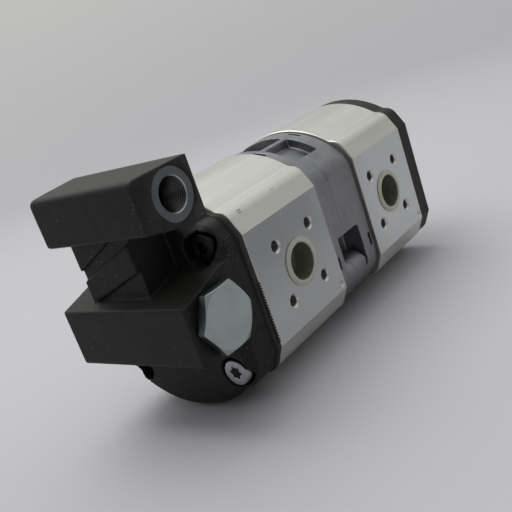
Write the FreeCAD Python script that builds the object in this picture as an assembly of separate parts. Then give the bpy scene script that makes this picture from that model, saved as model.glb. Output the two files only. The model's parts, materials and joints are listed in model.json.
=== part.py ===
"""Tandem external gear pump with a valve block for a rear cover.

Frame, in millimetres: the origin is where the drive shaft's axis meets the front cover's outer
face. +X runs out along the shaft, +Z is up, and the inlet ports face -Y. The pump is a stack
along X: front cover, front stage, two coupling housings, rear stage and the valve cover.
"""
import FreeCAD, Part
import math
import os

from FreeCAD import Vector

# ---------------------------------------------------------------- driving dimensions
# Stack along the shaft
FRONT_COVER_LENGTH = 11.5
FRONT_BODY_LENGTH = 54.6
FRONT_HOUSING_LENGTH = 24.9
REAR_HOUSING_LENGTH = 14.7
REAR_BODY_LENGTH = 61.3

# Outline of the extruded bodies, across (Y) and up (height) from the pump's centre line
HALF_WIDTH = 43.5
BULGE_R = HALF_WIDTH + 8.5
BULGE_DROP = 1.0            # the bulge's arc is centred this far past the centre line
LOBE_R = 8.0
LOBE_Y = HALF_WIDTH - 11.2
LOBE_H = 32.0
FACET_ANGLE = 28.0          # tilt of the flat between port face and lobe
VALLEY_R = 6.0              # hollow between lobe and bulge
BODY_EDGE = 0.4             # edge break at both ends of a body
FRONT_COVER_INSET = 0.5
CAST_INSET = 1.0            # rough casting behind the valve cover's machined rim

# Outline of the coupling housings
HOUSING_HALF_WIDTH = HALF_WIDTH - 2.0
HOUSING_BULGE_R = BULGE_R - 0.8
HOUSING_CORNER_R = 14.0

# Gears, the same teeth in both stages
CENTRE_DISTANCE = 32.5
TEETH = 12
MODULE = CENTRE_DISTANCE / (TEETH + 0.5)
PRESSURE_ANGLE = 20.0
PROFILE_SHIFT = 0.285
ADDENDUM = 1.21             # tooth above the pitch circle, in modules
DEDENDUM = 0.965            # tooth below the pitch circle, in modules
TIP_R = MODULE * (TEETH / 2 + ADDENDUM)
ROOT_R = MODULE * (TEETH / 2 - DEDENDUM)
TOOTH_THINNING = 0.10       # backlash taken off each tooth
FRONT_GEAR_WIDTH = 14.6
REAR_GEAR_WIDTH = 21.0
FRONT_PORT_X_GAP = 28.84    # port centre to the front body's front end
REAR_PORT_X_GAP = 28.3      # port centre to the rear body's front end

# Fits and clearances
RUNNING = 0.03              # radial, shaft in bush or spool in bore
SEATED = 0.02               # radial, pressed or threaded piece in its hole
TIP_CLEARANCE = 0.10        # gear tip to body
FACE_CLEARANCE = 0.05       # gear side to bearing block
SCREW_CLEARANCE = 0.5       # radial, tie screw in a plain hole
TANG_CLEARANCE = 0.05       # each side of a shaft tang in the sleeve
END_PLAY = 0.5              # end of a gear shaft to the cover

# Shafts, bushes and drive end
JOURNAL_R = 9.0
BUSH_WALL = 1.25
BUSH_SETBACK = 1.0          # bush behind the block's start
BUSH_END_GAP = 0.3
RELIEF_DEPTH = 1.5          # trapped-oil pocket in a block's gear face
RELIEF_NEAR_Y = 2.6
RELIEF_FAR_Y = 6.4
RELIEF_HALF_H = 2.5
FRONT_SHOULDER = 6.0        # front shaft's shoulder behind the front body
REAR_SHOULDER = 7.7         # rear shaft's shoulder before the rear body
TANG_WIDTH = 8.0
TANG_R = 7.0
TANG_LENGTH = 10.0
SLEEVE_R = 13.0
SLEEVE_LENGTH = 22.0
TAPER_START = 9.0           # beyond the front cover's outer face
TAPER_R = 8.4
TAPER_LENGTH = 20.0
TAPER_RATIO = 5.0           # 1:5 on diameter
THREAD_R = 6.0
THREAD_LENGTH = 14.0
THREAD_EDGE = 1.2
KEY_X = 17.0
KEY_DISC_R = 8.0
KEY_WIDTH = 4.0
KEY_HEIGHT = 6.5
KEY_STAND = 1.6             # how far the key stands out of the taper
NUT_FLATS = 19.0
NUT_LENGTH = 9.0
WASHER_R = 9.6
WASHER_LENGTH = 2.2
WASHER_GAP = 1.0            # end of the taper to the washer

# Front cover
FRONT_COVER_EDGE = 0.8
PILOT_R = 26.0
PILOT_LENGTH = 7.0
PILOT_EDGE = 0.8
SEAL_R = 15.0
SEAL_LENGTH = 7.0
SEAL_SINK = 2.0             # shaft seal's inner end below the front cover's outer face
CIRCLIP_LENGTH = 1.2
CIRCLIP_STAND = 0.8
CIRCLIP_WIDTH = 2.2
CIRCLIP_HALF_GAP = 3.5
SHAFT_GAP = 0.5             # radial, shaft in a cover or housing
MOUNT_HOLE_Y = 30.0
MOUNT_HOLE_R = 4.25
MOUNT_HOLE_DEPTH = 10.0

# Tie screws and dowels
TIE_R = 4.0
TIE_Y = HALF_WIDTH - 11.5
TIE_H = LOBE_H - 3.0
TIE_HEAD_R = 6.5
TIE_HEAD_LENGTH = 8.0
TIE_SEAT_LOW = 14.0         # near lower head's seat, behind the valve cover's joint face
TIE_SEAT_SUNK = 7.0         # the other heads are sunk in the flange
TIE_POCKET_R = 7.8
TIE_TIP_GAP = 1.0
SOCKET_R = 3.1
SOCKET_DEPTH = 4.0
SOCKET_CORE = 0.82          # six-lobed socket: shares of its radius
SOCKET_LOBE_PLACE = 0.74
SOCKET_LOBE = 0.3
TIE_HEAD_EDGE = 0.5
DOWEL_R = 3.0
DOWEL_LENGTH = 8.0
DOWEL_END_GAP = 0.2
DOWEL_Y = HALF_WIDTH - 7.5
DOWEL_H = 12.0

# Ports and their transport plugs
INLET_R = 10.0
INLET_PCD = 40.0
OUTLET_R = 7.5
OUTLET_PCD = 35.0
PORT_INNER_Y = 9.0          # port bore's inner end, inside the gear chamber
PORT_SCREW_R = 2.6
PORT_SCREW_DEPTH = 13.0
PORT_SCREW_SINK = 0.9
PLUG_CLEARANCE = 0.05
PLUG_WALL = 0.85
PLUG_DEPTH = 12.0
PLUG_RIM = 1.95             # rim past the port's wall
PLUG_RIM_LENGTH = 1.0
PLUG_RIM_EDGE = 0.35
MARK_R = 1.8
MARK_H = 24.7
MARK_GAP = 3.2              # drill mark to the body's front end

# Seals
BALANCE_SEAL_LAND = 1.65    # seal to the rim of its bearing block
BALANCE_SEAL_WIDTH = 2.2
BALANCE_SEAL_DEPTH = 1.8
BODY_SEAL_LAND = 1.55       # gear chamber to the seal about it
BODY_SEAL_WIDTH = 2.0
BODY_SEAL_DEPTH = 1.4
LIP_WALL = 1.6

# Coupling housings
REAR_WEB = 7.7              # solid flange next to the rear body
FRONT_WEB = 10.9            # solid flange next to the front body
WAIST_R = HOUSING_BULGE_R - 4.7 # floor of the recess over the bulge
DEEP_WAIST_R = HOUSING_BULGE_R - 8.2
WAIST_LOW_H = 30.0
WAIST_END_Y = HALF_WIDTH - 12.5
DEEP_WAIST_END_Y = HALF_WIDTH - 24.9
RIB_Y = 12.0
RIB_HALF = 1.6
JOINT_GROOVE = (1.2, 1.5)   # relief next to the front body: along X, deep
POCKET_TOP = 4.5            # below the centre line
POCKET_DEPTH = 12.0
POCKET_CORNER_R = 2.5
BOSS_R = 11.0
BOSS_SETBACK = 2.0          # end of the boss before the pocket's wall
PRY_SLOT = (2.4, 7.2, 3.0)  # along X, along the edge, deep
PRY_SLOT_TOP_DEPTH = 4.8
PRY_SLOT_GAP = 1.8
PRY_SLOT_H = 16.7
PRY_SLOT_Y = 14.0
SLEEVE_ROOM = 1.0
SLEEVE_END_WALL = 4.0

# Valve cover
COVER_FLANGE = 18.0
COVER_RIM = 3.5
COVER_SLOPE = 7.0           # sloped back of the flange
COVER_SLOPE_INSET = 4.5
CHIN_REACH = 22.0           # flange's lower end, under the spool block
CHIN_SLOPE = 5.0
CHIN_SLOPE_INSET = 3.0
BLOCK_REACH = 46.0          # rear face of the lower block behind the joint face
BLOCK_BACK_Y = HALF_WIDTH - 4.0
BLOCK_BOTTOM_H = -12.3
BLOCK_TOP_H = 16.0
BLOCK_ROOT_H = 22.5         # the block's top where it meets the flange
BLOCK_TOP_FLAT = 2.0        # level strip along the block's rear edge
BLOCK_CORNER_R = 1.6
COVER_OVERLAP = 1.0         # how far blocks and flange run into each other
WEB_REACH = 38.0
WEB_FRONT_Y = -16.5
WEB_BACK_Y = 21.5
HEAD_REACH = 49.5
HEAD_ROOT = 15.5
HEAD_BOTTOM_H = 48.7
HEAD_LIP_H = 43.4
HEAD_LIP_LENGTH = 8.5
HEAD_TOP_H = 71.5
HEAD_BACK_Y = 24.5
HEAD_BACK_SLANT = 10.0
BAND_STAND = 1.8
LOW_BAND_EDGE_H = 17.0      # heights of the raised bands on the web
LOW_BAND_H = 28.0
LOW_BAND_RISE_H = 30.5
LOW_BAND_TOP_H = 43.2
HIGH_BAND_H = 33.0
HIGH_BAND_PEAK = (-2.0, 44.0)
HIGH_BAND_TOP_Y = -9.0
COVER_CORNER_R = 3.0

# Valve cover ports and spool
SPOOL_X_BACK = 28.5         # spool axis behind the joint face
SPOOL_H = 3.0
SPOOL_R = 8.0
SPOOL_LENGTH = 39.0
SPOOL_END_GAP = 0.3
SPOOL_NECKS = (9.0, 24.0)   # start of each neck from the spool's near end
SPOOL_NECK_LENGTH = 6.0
SPOOL_NECK_DEPTH = 2.2
SPOOL_BORE_R = 3.0
SPOOL_BORE_LENGTH = 14.0
SPOOL_CROSS_R = 1.2
SPOOL_CROSS_Y = 12.0
HEX_PLUG_R = SPOOL_R + 3.0
HEX_PLUG_LENGTH = 14.0
HEX_PLUG_FLATS = 2 * HEX_PLUG_R + 6.0
HEX_HEAD_LENGTH = 4.5
HEX_PLUG_TURN = 30.0        # one pair of flats level
HEX_SEAL_R = HEX_PLUG_R + 2.5
HEX_SEAL_LENGTH = 1.0
SEAL_FACE_DEPTH = 0.6       # spot face for the hex plug's sealing ring
SPRING_SEAT_R = SPOOL_R - 1.4
SPRING_SEAT_DEPTH = 9.0
SPRING_MEAN_R = SPRING_SEAT_R - 1.4
SPRING_WIRE_R = 0.7
SPRING_TURNS = 8
END_PLUG_R = SPOOL_R + 1.0
END_PLUG_LENGTH = 8.0
END_HEAD_R = END_PLUG_R + 3.0
END_HEAD_LENGTH = 3.5
END_SEAL_LENGTH = 0.8
END_HEAD_EDGE = 0.6
END_SOCKET_FLATS = 8.0
END_SOCKET_DEPTH = 5.0
UPPER_PORT_X_BACK = 29.1
UPPER_PORT_H = 58.8
UPPER_PORT_R = 7.48         # pilot hole of a G 3/8 thread
UPPER_PORT_DEPTH = 18.0
UPPER_PORT_FACE_R = 12.0
UPPER_PORT_FACE_DEPTH = 0.4
UPPER_PORT_SINK = 0.7
GALLERY_R = 4.5
SIDE_GALLERY_R = 3.0
SIDE_SEAL_R = 5.4
SIDE_SEAL_HOLE_R = 3.8
SIDE_SEAL_GAP = 0.2         # to the face seal beside it

# ---------------------------------------------------------------- stations worked out from them
AXIS_H = CENTRE_DISTANCE / 2
MID_Z = -AXIS_H
DRIVEN_Z = -CENTRE_DISTANCE
X_COVER_JOINT = -FRONT_COVER_LENGTH
X_FRONT_BODY_END = X_COVER_JOINT - FRONT_BODY_LENGTH
X_SPLIT = X_FRONT_BODY_END - FRONT_HOUSING_LENGTH
X_REAR_BODY_START = X_SPLIT - REAR_HOUSING_LENGTH
X_REAR_JOINT = X_REAR_BODY_START - REAR_BODY_LENGTH
X_FRONT_PORT = X_COVER_JOINT - FRONT_PORT_X_GAP
X_REAR_PORT = X_REAR_BODY_START - REAR_PORT_X_GAP
CHAMBER_R = TIP_R + TIP_CLEARANCE
BLOCK_R = CHAMBER_R - SEATED
BUSH_R = JOURNAL_R + RUNNING + BUSH_WALL
BALANCE_SEAL_OUT_R = BLOCK_R - BALANCE_SEAL_LAND
BALANCE_SEAL_IN_R = BALANCE_SEAL_OUT_R - BALANCE_SEAL_WIDTH
BODY_SEAL_IN_R = CHAMBER_R + BODY_SEAL_LAND
BODY_SEAL_OUT_R = BODY_SEAL_IN_R + BODY_SEAL_WIDTH
SIDE_GALLERY_Y = BODY_SEAL_OUT_R + SIDE_SEAL_R + SIDE_SEAL_GAP
X_SHAFT_SHOULDER = X_FRONT_BODY_END - FRONT_SHOULDER
X_SPOOL = X_REAR_JOINT - SPOOL_X_BACK
X_UPPER_PORT = X_REAR_JOINT - UPPER_PORT_X_BACK
SPOOL_FAR_Y = BLOCK_BACK_Y - END_PLUG_LENGTH
SPOOL_NEAR_Y = SPOOL_FAR_Y - SPOOL_END_GAP - SPOOL_LENGTH
HEX_PLUG_NOSE_Y = -HALF_WIDTH + HEX_PLUG_LENGTH
EPS = 1.0                   # how far a cutting tool overshoots


# ---------------------------------------------------------------- helpers
def height(h):
    """Z of a height above the pump's centre line."""
    return MID_Z + h


def cyl_x(radius, x0, x1, y=0.0, z=0.0):
    """Cylinder along X between two stations."""
    return Part.makeCylinder(radius, abs(x1 - x0), Vector(min(x0, x1), y, z), Vector(1, 0, 0))


def cyl_y(radius, y0, y1, x, z):
    """Cylinder along Y between two stations."""
    return Part.makeCylinder(radius, abs(y1 - y0), Vector(x, min(y0, y1), z), Vector(0, 1, 0))


def cyl_z(radius, z0, z1, x, y):
    """Cylinder along Z between two stations."""
    return Part.makeCylinder(radius, abs(z1 - z0), Vector(x, y, min(z0, z1)), Vector(0, 0, 1))


def cone_y(r0, r1, y0, y1, x, z):
    """Cone along Y, radius r0 at y0 and r1 at y1."""
    direction = 1 if y1 > y0 else -1
    return Part.makeCone(r0, r1, abs(y1 - y0), Vector(x, y0, z), Vector(0, direction, 0))


def box(x0, x1, y0, y1, z0, z1):
    """Box between two corners given in any order."""
    xs, ys, zs = sorted((x0, x1)), sorted((y0, y1)), sorted((z0, z1))
    corner = Vector(xs[0], ys[0], zs[0])
    return Part.makeBox(xs[1] - xs[0], ys[1] - ys[0], zs[1] - zs[0], corner)


def prism(points, direction):
    """Solid swept from a closed polygon."""
    wire = Part.makePolygon(points + [points[0]])
    return Part.Face(wire).extrude(direction)


def hexagon_prism(flats, start, direction, turn=0.0):
    """Hexagonal prism with its first corner turned from the frame's own up direction."""
    corner_r = flats / math.sqrt(3)
    axis = Vector(direction).normalize()
    up = Vector(0, 0, 1)
    side = axis.cross(up)
    points = []
    for i in range(6):
        angle = math.radians(60 * i + turn)
        points.append(start + up * (corner_r * math.cos(angle)) + side * (corner_r * math.sin(angle)))
    return prism(points, direction)


def export(shape, node):
    """Write one node's solids to its own STEP file."""
    shape.removeSplitter().exportStep("parts/%s.step" % node)


def tie_places():
    """Y and Z of the four tie screws."""
    return [(sy * TIE_Y, height(sh * TIE_H)) for sy in (-1, 1) for sh in (-1, 1)]


def dowel_places(x):
    """Y and Z of the two dowels at a joint; at the housings' split they clear the side pockets."""
    tilt = -1 if x == X_SPLIT else 1
    return [(s * DOWEL_Y, height(tilt * s * DOWEL_H)) for s in (-1, 1)]


# ---------------------------------------------------------------- outlines
def circles_meet(c1, r1, c2, r2):
    """Higher meeting point of two circles, as an (across, height) pair."""
    dx, dy = c2[0] - c1[0], c2[1] - c1[1]
    d = math.hypot(dx, dy)
    along = (r1 * r1 - r2 * r2 + d * d) / (2 * d)
    aside = math.sqrt(r1 * r1 - along * along)
    mx, my = c1[0] + along * dx / d, c1[1] + along * dy / d
    one = (mx + aside * dy / d, my - aside * dx / d)
    two = (mx - aside * dy / d, my + aside * dx / d)
    return max(one, two, key=lambda p: p[1])


def toward(centre, radius, point):
    """Point of a circle in the direction of another point."""
    d = math.hypot(point[0] - centre[0], point[1] - centre[1])
    return (centre[0] + radius * (point[0] - centre[0]) / d,
            centre[1] + radius * (point[1] - centre[1]) / d)


def arc_middle(centre, radius, one, two):
    """Middle of the shorter arc between two points of a circle."""
    return toward(centre, radius, ((one[0] + two[0]) / 2, (one[1] + two[1]) / 2))


def quadrant_body(inset):
    """Body outline in one quarter, from the port face's middle to the bulge's crown."""
    width = HALF_WIDTH - inset
    lobe_r = LOBE_R - inset
    valley_r = VALLEY_R + inset
    bulge_r = BULGE_R - inset
    lobe = (LOBE_Y, LOBE_H)
    bulge = (0.0, -BULGE_DROP)
    facet = math.radians(FACET_ANGLE)
    touch = (lobe[0] + lobe_r * math.cos(facet), lobe[1] + lobe_r * math.sin(facet))
    crease = (width, touch[1] - (width - touch[0]) / math.tan(facet))
    valley = circles_meet(bulge, bulge_r + valley_r, lobe, lobe_r + valley_r)
    lobe_end = toward(lobe, lobe_r, valley)
    bulge_end = toward(bulge, bulge_r, valley)
    crown = (0.0, bulge_r - BULGE_DROP)
    return [
        ("line", (width, 0.0), crease),
        ("line", crease, touch),
        ("arc", touch, arc_middle(lobe, lobe_r, touch, lobe_end), lobe_end),
        ("arc", lobe_end, arc_middle(valley, valley_r, lobe_end, bulge_end), bulge_end),
        ("arc", bulge_end, arc_middle(bulge, bulge_r, bulge_end, crown), crown),
    ]


def quadrant_housing(inset):
    """Coupling housing outline in one quarter: bulge, round corner and flat side."""
    width = HOUSING_HALF_WIDTH - inset
    bulge_r = HOUSING_BULGE_R - inset
    corner_r = HOUSING_CORNER_R - inset
    bulge = (0.0, -BULGE_DROP)
    corner_y = width - corner_r
    corner_h = math.sqrt((bulge_r - corner_r) ** 2 - corner_y ** 2) - BULGE_DROP
    corner = (corner_y, corner_h)
    flat_end = (width, corner_h)
    meet = toward(bulge, bulge_r, corner)
    crown = (0.0, bulge_r - BULGE_DROP)
    return [
        ("line", (width, 0.0), flat_end),
        ("arc", flat_end, arc_middle(corner, corner_r, flat_end, meet), meet),
        ("arc", meet, arc_middle(bulge, bulge_r, meet, crown), crown),
    ]


def outline_wire(quadrant, x0):
    """Closed outline at a station, from a quarter outline mirrored into all four quarters."""
    edges = []
    for sy, sh in ((1, 1), (-1, 1), (-1, -1), (1, -1)):
        for kind, *points in quadrant:
            places = [Vector(x0, sy * p[0], height(sh * p[1])) for p in points]
            if kind == "line":
                edges.append(Part.makeLine(*places))
            else:
                edges.append(Part.Arc(*places).toShape())
    return Part.Wire(Part.__sortEdges__(edges))


def outline_solid(quadrant, x0, x1):
    """Sweep an outline between two stations."""
    return Part.Face(outline_wire(quadrant, x0)).extrude(Vector(x1 - x0, 0, 0))


def tapered_outline(x0, inset0, x1, inset1):
    """Body outline that draws in from one inset to another between two stations."""
    ends = [outline_wire(quadrant_body(inset0), x0), outline_wire(quadrant_body(inset1), x1)]
    return Part.makeLoft(ends, True, True)


def twin_cylinders(radius, x0, x1):
    """Two cylinders on the gear axes, joined."""
    return cyl_x(radius, x0, x1, 0, 0).fuse(cyl_x(radius, x0, x1, 0, DRIVEN_Z))


def racetrack(radius, x0, x1):
    """Round-ended prism about the two gear axes."""
    return twin_cylinders(radius, x0, x1).fuse(box(x0, x1, -radius, radius, DRIVEN_Z, 0))


# ---------------------------------------------------------------- gears and shafts
def involute_point(base_r, roll):
    """Point of the base circle's involute at a roll angle."""
    return (base_r * (math.cos(roll) + roll * math.sin(roll)),
            base_r * (math.sin(roll) - roll * math.cos(roll)))


def tooth_edges(x, z_axis, turn):
    """Edges of one tooth and of the root to the next, in the plane across the shaft."""
    pressure = math.radians(PRESSURE_ANGLE)
    pitch_r = MODULE * TEETH / 2
    base_r = pitch_r * math.cos(pressure)
    thickness = MODULE * (math.pi / 2 + 2 * PROFILE_SHIFT * math.tan(pressure)) - TOOTH_THINNING
    half = thickness / (2 * pitch_r) + math.tan(pressure) - pressure
    tip_roll = math.sqrt((TIP_R / base_r) ** 2 - 1)
    pitch_angle = 2 * math.pi / TEETH

    def place(r, angle):
        return Vector(x, r * math.cos(turn + angle), z_axis + r * math.sin(turn + angle))

    def flank(side):
        points = []
        for i in range(7):
            px, py = involute_point(base_r, tip_roll * i / 6)
            points.append(place(math.hypot(px, py), side * (math.atan2(py, px) - half)))
        return points

    rising, falling = flank(1), flank(-1)
    curves = []
    for points in (rising, falling):
        spline = Part.BSplineCurve()
        spline.interpolate(points)
        curves.append(spline.toShape())
    root_start, root_end = place(ROOT_R, half), place(ROOT_R, pitch_angle - half)
    next_base = place(base_r, pitch_angle - half)
    return [
        curves[0],
        Part.Arc(rising[-1], place(TIP_R, 0), falling[-1]).toShape(),
        curves[1],
        Part.makeLine(falling[0], root_start),
        Part.Arc(root_start, place(ROOT_R, pitch_angle / 2), root_end).toShape(),
        Part.makeLine(root_end, next_base),
    ]


def gear_blank(x_centre, width, z_axis, phase):
    """Toothed wheel centred at a station, its first tooth turned by phase teeth."""
    x0 = x_centre - width / 2 + FACE_CLEARANCE
    edges = []
    for i in range(TEETH):
        turn = 2 * math.pi * (i + phase) / TEETH
        edges += tooth_edges(x0, z_axis, turn)
    wire = Part.Wire(Part.__sortEdges__(edges))
    return Part.Face(wire).extrude(Vector(width - 2 * FACE_CLEARANCE, 0, 0))


def tang(x0, x1):
    """Two-flat end of a drive shaft."""
    return cyl_x(TANG_R, x0, x1).common(box(x0, x1, -TANG_WIDTH / 2, TANG_WIDTH / 2, -TANG_R, TANG_R))


def taper_r(x):
    """Radius of the drive taper at a station."""
    return TAPER_R - (x - TAPER_START) / (2 * TAPER_RATIO)


def drive_tip():
    """Shaft beyond the front cover: neck, taper and thread."""
    taper_end = TAPER_START + TAPER_LENGTH
    thread_end = taper_end + THREAD_LENGTH
    axis = Vector(1, 0, 0)
    taper = Part.makeCone(TAPER_R, taper_r(taper_end), TAPER_LENGTH, Vector(TAPER_START, 0, 0), axis)
    edge = THREAD_EDGE
    thread = cyl_x(THREAD_R, taper_end, thread_end - edge)
    nose = Part.makeCone(THREAD_R, THREAD_R - edge, edge, Vector(thread_end - edge, 0, 0), axis)
    return taper.multiFuse([thread, nose])


def key_disc(radius, width, top):
    """Disc segment of the key, or of its seat."""
    centre_z = taper_r(KEY_X) + KEY_STAND - KEY_HEIGHT + KEY_DISC_R
    disc = cyl_y(radius, -width / 2, width / 2, KEY_X, centre_z)
    return disc.common(box(KEY_X - radius, KEY_X + radius, -width, width, centre_z - radius, top))


def front_drive_gear():
    journal = cyl_x(JOURNAL_R, X_SHAFT_SHOULDER, TAPER_START)
    stub = tang(X_SHAFT_SHOULDER - TANG_LENGTH, X_SHAFT_SHOULDER)
    wheel = gear_blank(X_FRONT_PORT, FRONT_GEAR_WIDTH, 0.0, 0.0)
    seat = key_disc(KEY_DISC_R + SEATED, KEY_WIDTH + 2 * SEATED, JOURNAL_R + EPS)
    return journal.multiFuse([stub, wheel, drive_tip()]).cut(seat)


def rear_drive_gear():
    shoulder = X_REAR_BODY_START + REAR_SHOULDER
    journal = cyl_x(JOURNAL_R, X_REAR_JOINT + END_PLAY, shoulder)
    stub = tang(shoulder, shoulder + TANG_LENGTH)
    wheel = gear_blank(X_REAR_PORT, REAR_GEAR_WIDTH, 0.0, 0.0)
    return journal.multiFuse([stub, wheel])


def driven_gear(x_start, x_end, x_port, width):
    wheel = gear_blank(x_port, width, DRIVEN_Z, 0.5)
    return cyl_x(JOURNAL_R, x_start + END_PLAY, x_end - END_PLAY, 0, DRIVEN_Z).fuse(wheel)


def coupling_sleeve():
    x_mid = (X_REAR_BODY_START + REAR_SHOULDER + X_SHAFT_SHOULDER) / 2
    x0, x1 = x_mid - SLEEVE_LENGTH / 2, x_mid + SLEEVE_LENGTH / 2
    half = TANG_WIDTH / 2 + TANG_CLEARANCE
    reach = TANG_R + 2 * TANG_CLEARANCE
    slot = box(x0 - EPS, x1 + EPS, -half, half, -reach, reach)
    return cyl_x(SLEEVE_R, x0, x1).cut(slot)


def shaft_key():
    return key_disc(KEY_DISC_R, KEY_WIDTH, taper_r(KEY_X) + KEY_STAND)


def lock_washer():
    x0 = TAPER_START + TAPER_LENGTH + WASHER_GAP
    ring = cyl_x(WASHER_R, x0, x0 + WASHER_LENGTH)
    return ring.cut(cyl_x(THREAD_R + SEATED, x0 - EPS, x0 + WASHER_LENGTH + EPS))


def shaft_nut():
    x0 = TAPER_START + TAPER_LENGTH + WASHER_GAP + WASHER_LENGTH
    blank = hexagon_prism(NUT_FLATS, Vector(x0, 0, 0), Vector(NUT_LENGTH, 0, 0))
    corner_r = NUT_FLATS / math.sqrt(3)
    rounding = Part.makeCone(corner_r + 4.0, corner_r - 0.9, NUT_LENGTH, Vector(x0, 0, 0), Vector(1, 0, 0))
    return blank.common(rounding).cut(cyl_x(THREAD_R + SEATED, x0 - EPS, x0 + NUT_LENGTH + EPS))


# ---------------------------------------------------------------- bearing blocks, bushes and seals
def bearing_block(x0, x1, seal_at_start):
    """Twin bearing block that fills the chamber between a gear and a cover."""
    block = twin_cylinders(BLOCK_R, x0, x1)
    for z in (0.0, DRIVEN_Z):
        block = block.cut(cyl_x(BUSH_R + SEATED, x0 - EPS, x1 + EPS, 0, z))
    groove_x0 = x0 if seal_at_start else x1 - BALANCE_SEAL_DEPTH
    block = block.cut(balance_ring(groove_x0, SEATED))
    gear_x = x1 if seal_at_start else x0
    inward = -1 if seal_at_start else 1
    for side in (-1, 1):
        relief = box(gear_x, gear_x + inward * RELIEF_DEPTH, side * RELIEF_NEAR_Y, side * RELIEF_FAR_Y,
                     MID_Z - RELIEF_HALF_H, MID_Z + RELIEF_HALF_H)
        block = block.cut(relief)
    return block


def balance_ring(x0, grow):
    """Eight-shaped pressure seal, or its groove when it is grown."""
    x1 = x0 + BALANCE_SEAL_DEPTH
    outer = twin_cylinders(BALANCE_SEAL_OUT_R + grow, x0, x1)
    return outer.cut(twin_cylinders(BALANCE_SEAL_IN_R - grow, x0 - EPS, x1 + EPS))


def body_ring(x0, x1, grow):
    """Round-ended face seal about both gears, or its groove when it is grown."""
    outer = racetrack(BODY_SEAL_OUT_R + grow, x0, x1)
    return outer.cut(racetrack(BODY_SEAL_IN_R - grow, x0 - EPS, x1 + EPS))


def stage_blocks(x_start, x_end, x_port, width):
    """Rear and front bearing blocks of one stage."""
    rear = bearing_block(x_start, x_port - width / 2, True)
    front = bearing_block(x_port + width / 2, x_end, False)
    return rear, front


def stage_bushes(x_start, x_end, x_port, width):
    """Four lined bushes of one stage."""
    bushes = []
    for x0, x1 in ((x_start, x_port - width / 2), (x_port + width / 2, x_end)):
        for z in (0.0, DRIVEN_Z):
            tube = cyl_x(BUSH_R, x0 + BUSH_SETBACK, x1 - BUSH_END_GAP, 0, z)
            bushes.append(tube.cut(cyl_x(JOURNAL_R + RUNNING, x0, x1, 0, z)))
    return Part.makeCompound(bushes)


def stage_balance_seals(x_start, x_end):
    """The pressure seals in both bearing blocks of one stage."""
    return Part.makeCompound([balance_ring(x_start, 0), balance_ring(x_end - BALANCE_SEAL_DEPTH, 0)])


def body_seals():
    """Face seals at the four joints of the stack."""
    rings = []
    for x, outward in ((X_REAR_JOINT, -1), (X_REAR_BODY_START, 1), (X_FRONT_BODY_END, -1), (X_COVER_JOINT, 1)):
        x0, x1 = sorted((x, x + outward * BODY_SEAL_DEPTH))
        rings.append(body_ring(x0, x1, 0))
    return Part.makeCompound(rings)


def lip_seal(x0):
    """Radial shaft seal: metal-backed outer wall, web and lip."""
    x1 = x0 + SEAL_LENGTH
    lip_r = JOURNAL_R + RUNNING
    wall = LIP_WALL
    points = [
        (x0, SEAL_R - SEATED), (x1, SEAL_R - SEATED), (x1, lip_r + wall), (x1 - wall, lip_r + wall),
        (x1 - 2 * wall, lip_r), (x1 - 2.6 * wall, lip_r + wall), (x1 - 1.5 * wall, lip_r + 1.7 * wall),
        (x0, SEAL_R - 1.2 * wall),
    ]
    places = [Vector(x, 0, r) for x, r in points]
    face = Part.Face(Part.makePolygon(places + [places[0]]))
    return face.revolve(Vector(0, 0, 0), Vector(1, 0, 0), 360)


def circlip():
    """Open ring that keeps the shaft seal in the pilot."""
    x0 = SEAL_LENGTH - SEAL_SINK + SEATED
    x1 = x0 + CIRCLIP_LENGTH
    ring = cyl_x(SEAL_R + CIRCLIP_STAND - SEATED, x0, x1)
    ring = ring.cut(cyl_x(SEAL_R - CIRCLIP_WIDTH, x0 - EPS, x1 + EPS))
    return ring.cut(box(x0 - EPS, x1 + EPS, -CIRCLIP_HALF_GAP, CIRCLIP_HALF_GAP, 0, -2 * SEAL_R))


# ---------------------------------------------------------------- ports
def port_cuts(side, x_port, radius, pcd):
    """Port bore, its four threaded holes and their countersinks on one side of a body."""
    face = side * HALF_WIDTH
    cuts = [cyl_y(radius, side * PORT_INNER_Y, face + side * EPS, x_port, MID_Z)]
    step = pcd / 2 / math.sqrt(2)
    for dx in (-step, step):
        for dz in (-step, step):
            x, z = x_port + dx, MID_Z + dz
            cuts.append(cyl_y(PORT_SCREW_R, face - side * PORT_SCREW_DEPTH, face + side * EPS, x, z))
            sink_r = PORT_SCREW_R + PORT_SCREW_SINK
            cuts.append(cone_y(sink_r, PORT_SCREW_R, face, face - side * PORT_SCREW_SINK, x, z))
    return cuts


def port_plug(side, x_port, radius):
    """Cup-shaped transport plug: rim on the port face and a closed cup in the bore."""
    face = side * HALF_WIDTH
    cup_r = radius - PLUG_CLEARANCE
    floor = face - side * PLUG_DEPTH
    top = face + side * PLUG_RIM_LENGTH
    cup = cyl_y(cup_r, floor, face, x_port, MID_Z)
    rim = cyl_y(radius + PLUG_RIM, face, top, x_port, MID_Z)
    rim = rim.makeChamfer(PLUG_RIM_EDGE, [max(rim.Edges, key=lambda e: side * e.CenterOfMass.y)])
    hollow = cyl_y(cup_r - PLUG_WALL, floor + side * PLUG_WALL, top + side * EPS, x_port, MID_Z)
    return cup.fuse(rim).cut(hollow)


# ---------------------------------------------------------------- bodies, housings and front cover
def joint_cuts(x0, x1):
    """Tie-screw holes of a body or housing between two joints."""
    return [cyl_x(TIE_R + SCREW_CLEARANCE, x0 - EPS, x1 + EPS, y, z) for y, z in tie_places()]


def dowel_cuts(x):
    """Both dowel holes at one joint."""
    half = DOWEL_LENGTH / 2 + DOWEL_END_GAP
    return [cyl_x(DOWEL_R + SEATED, x - half, x + half, y, z) for y, z in dowel_places(x)]


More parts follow.
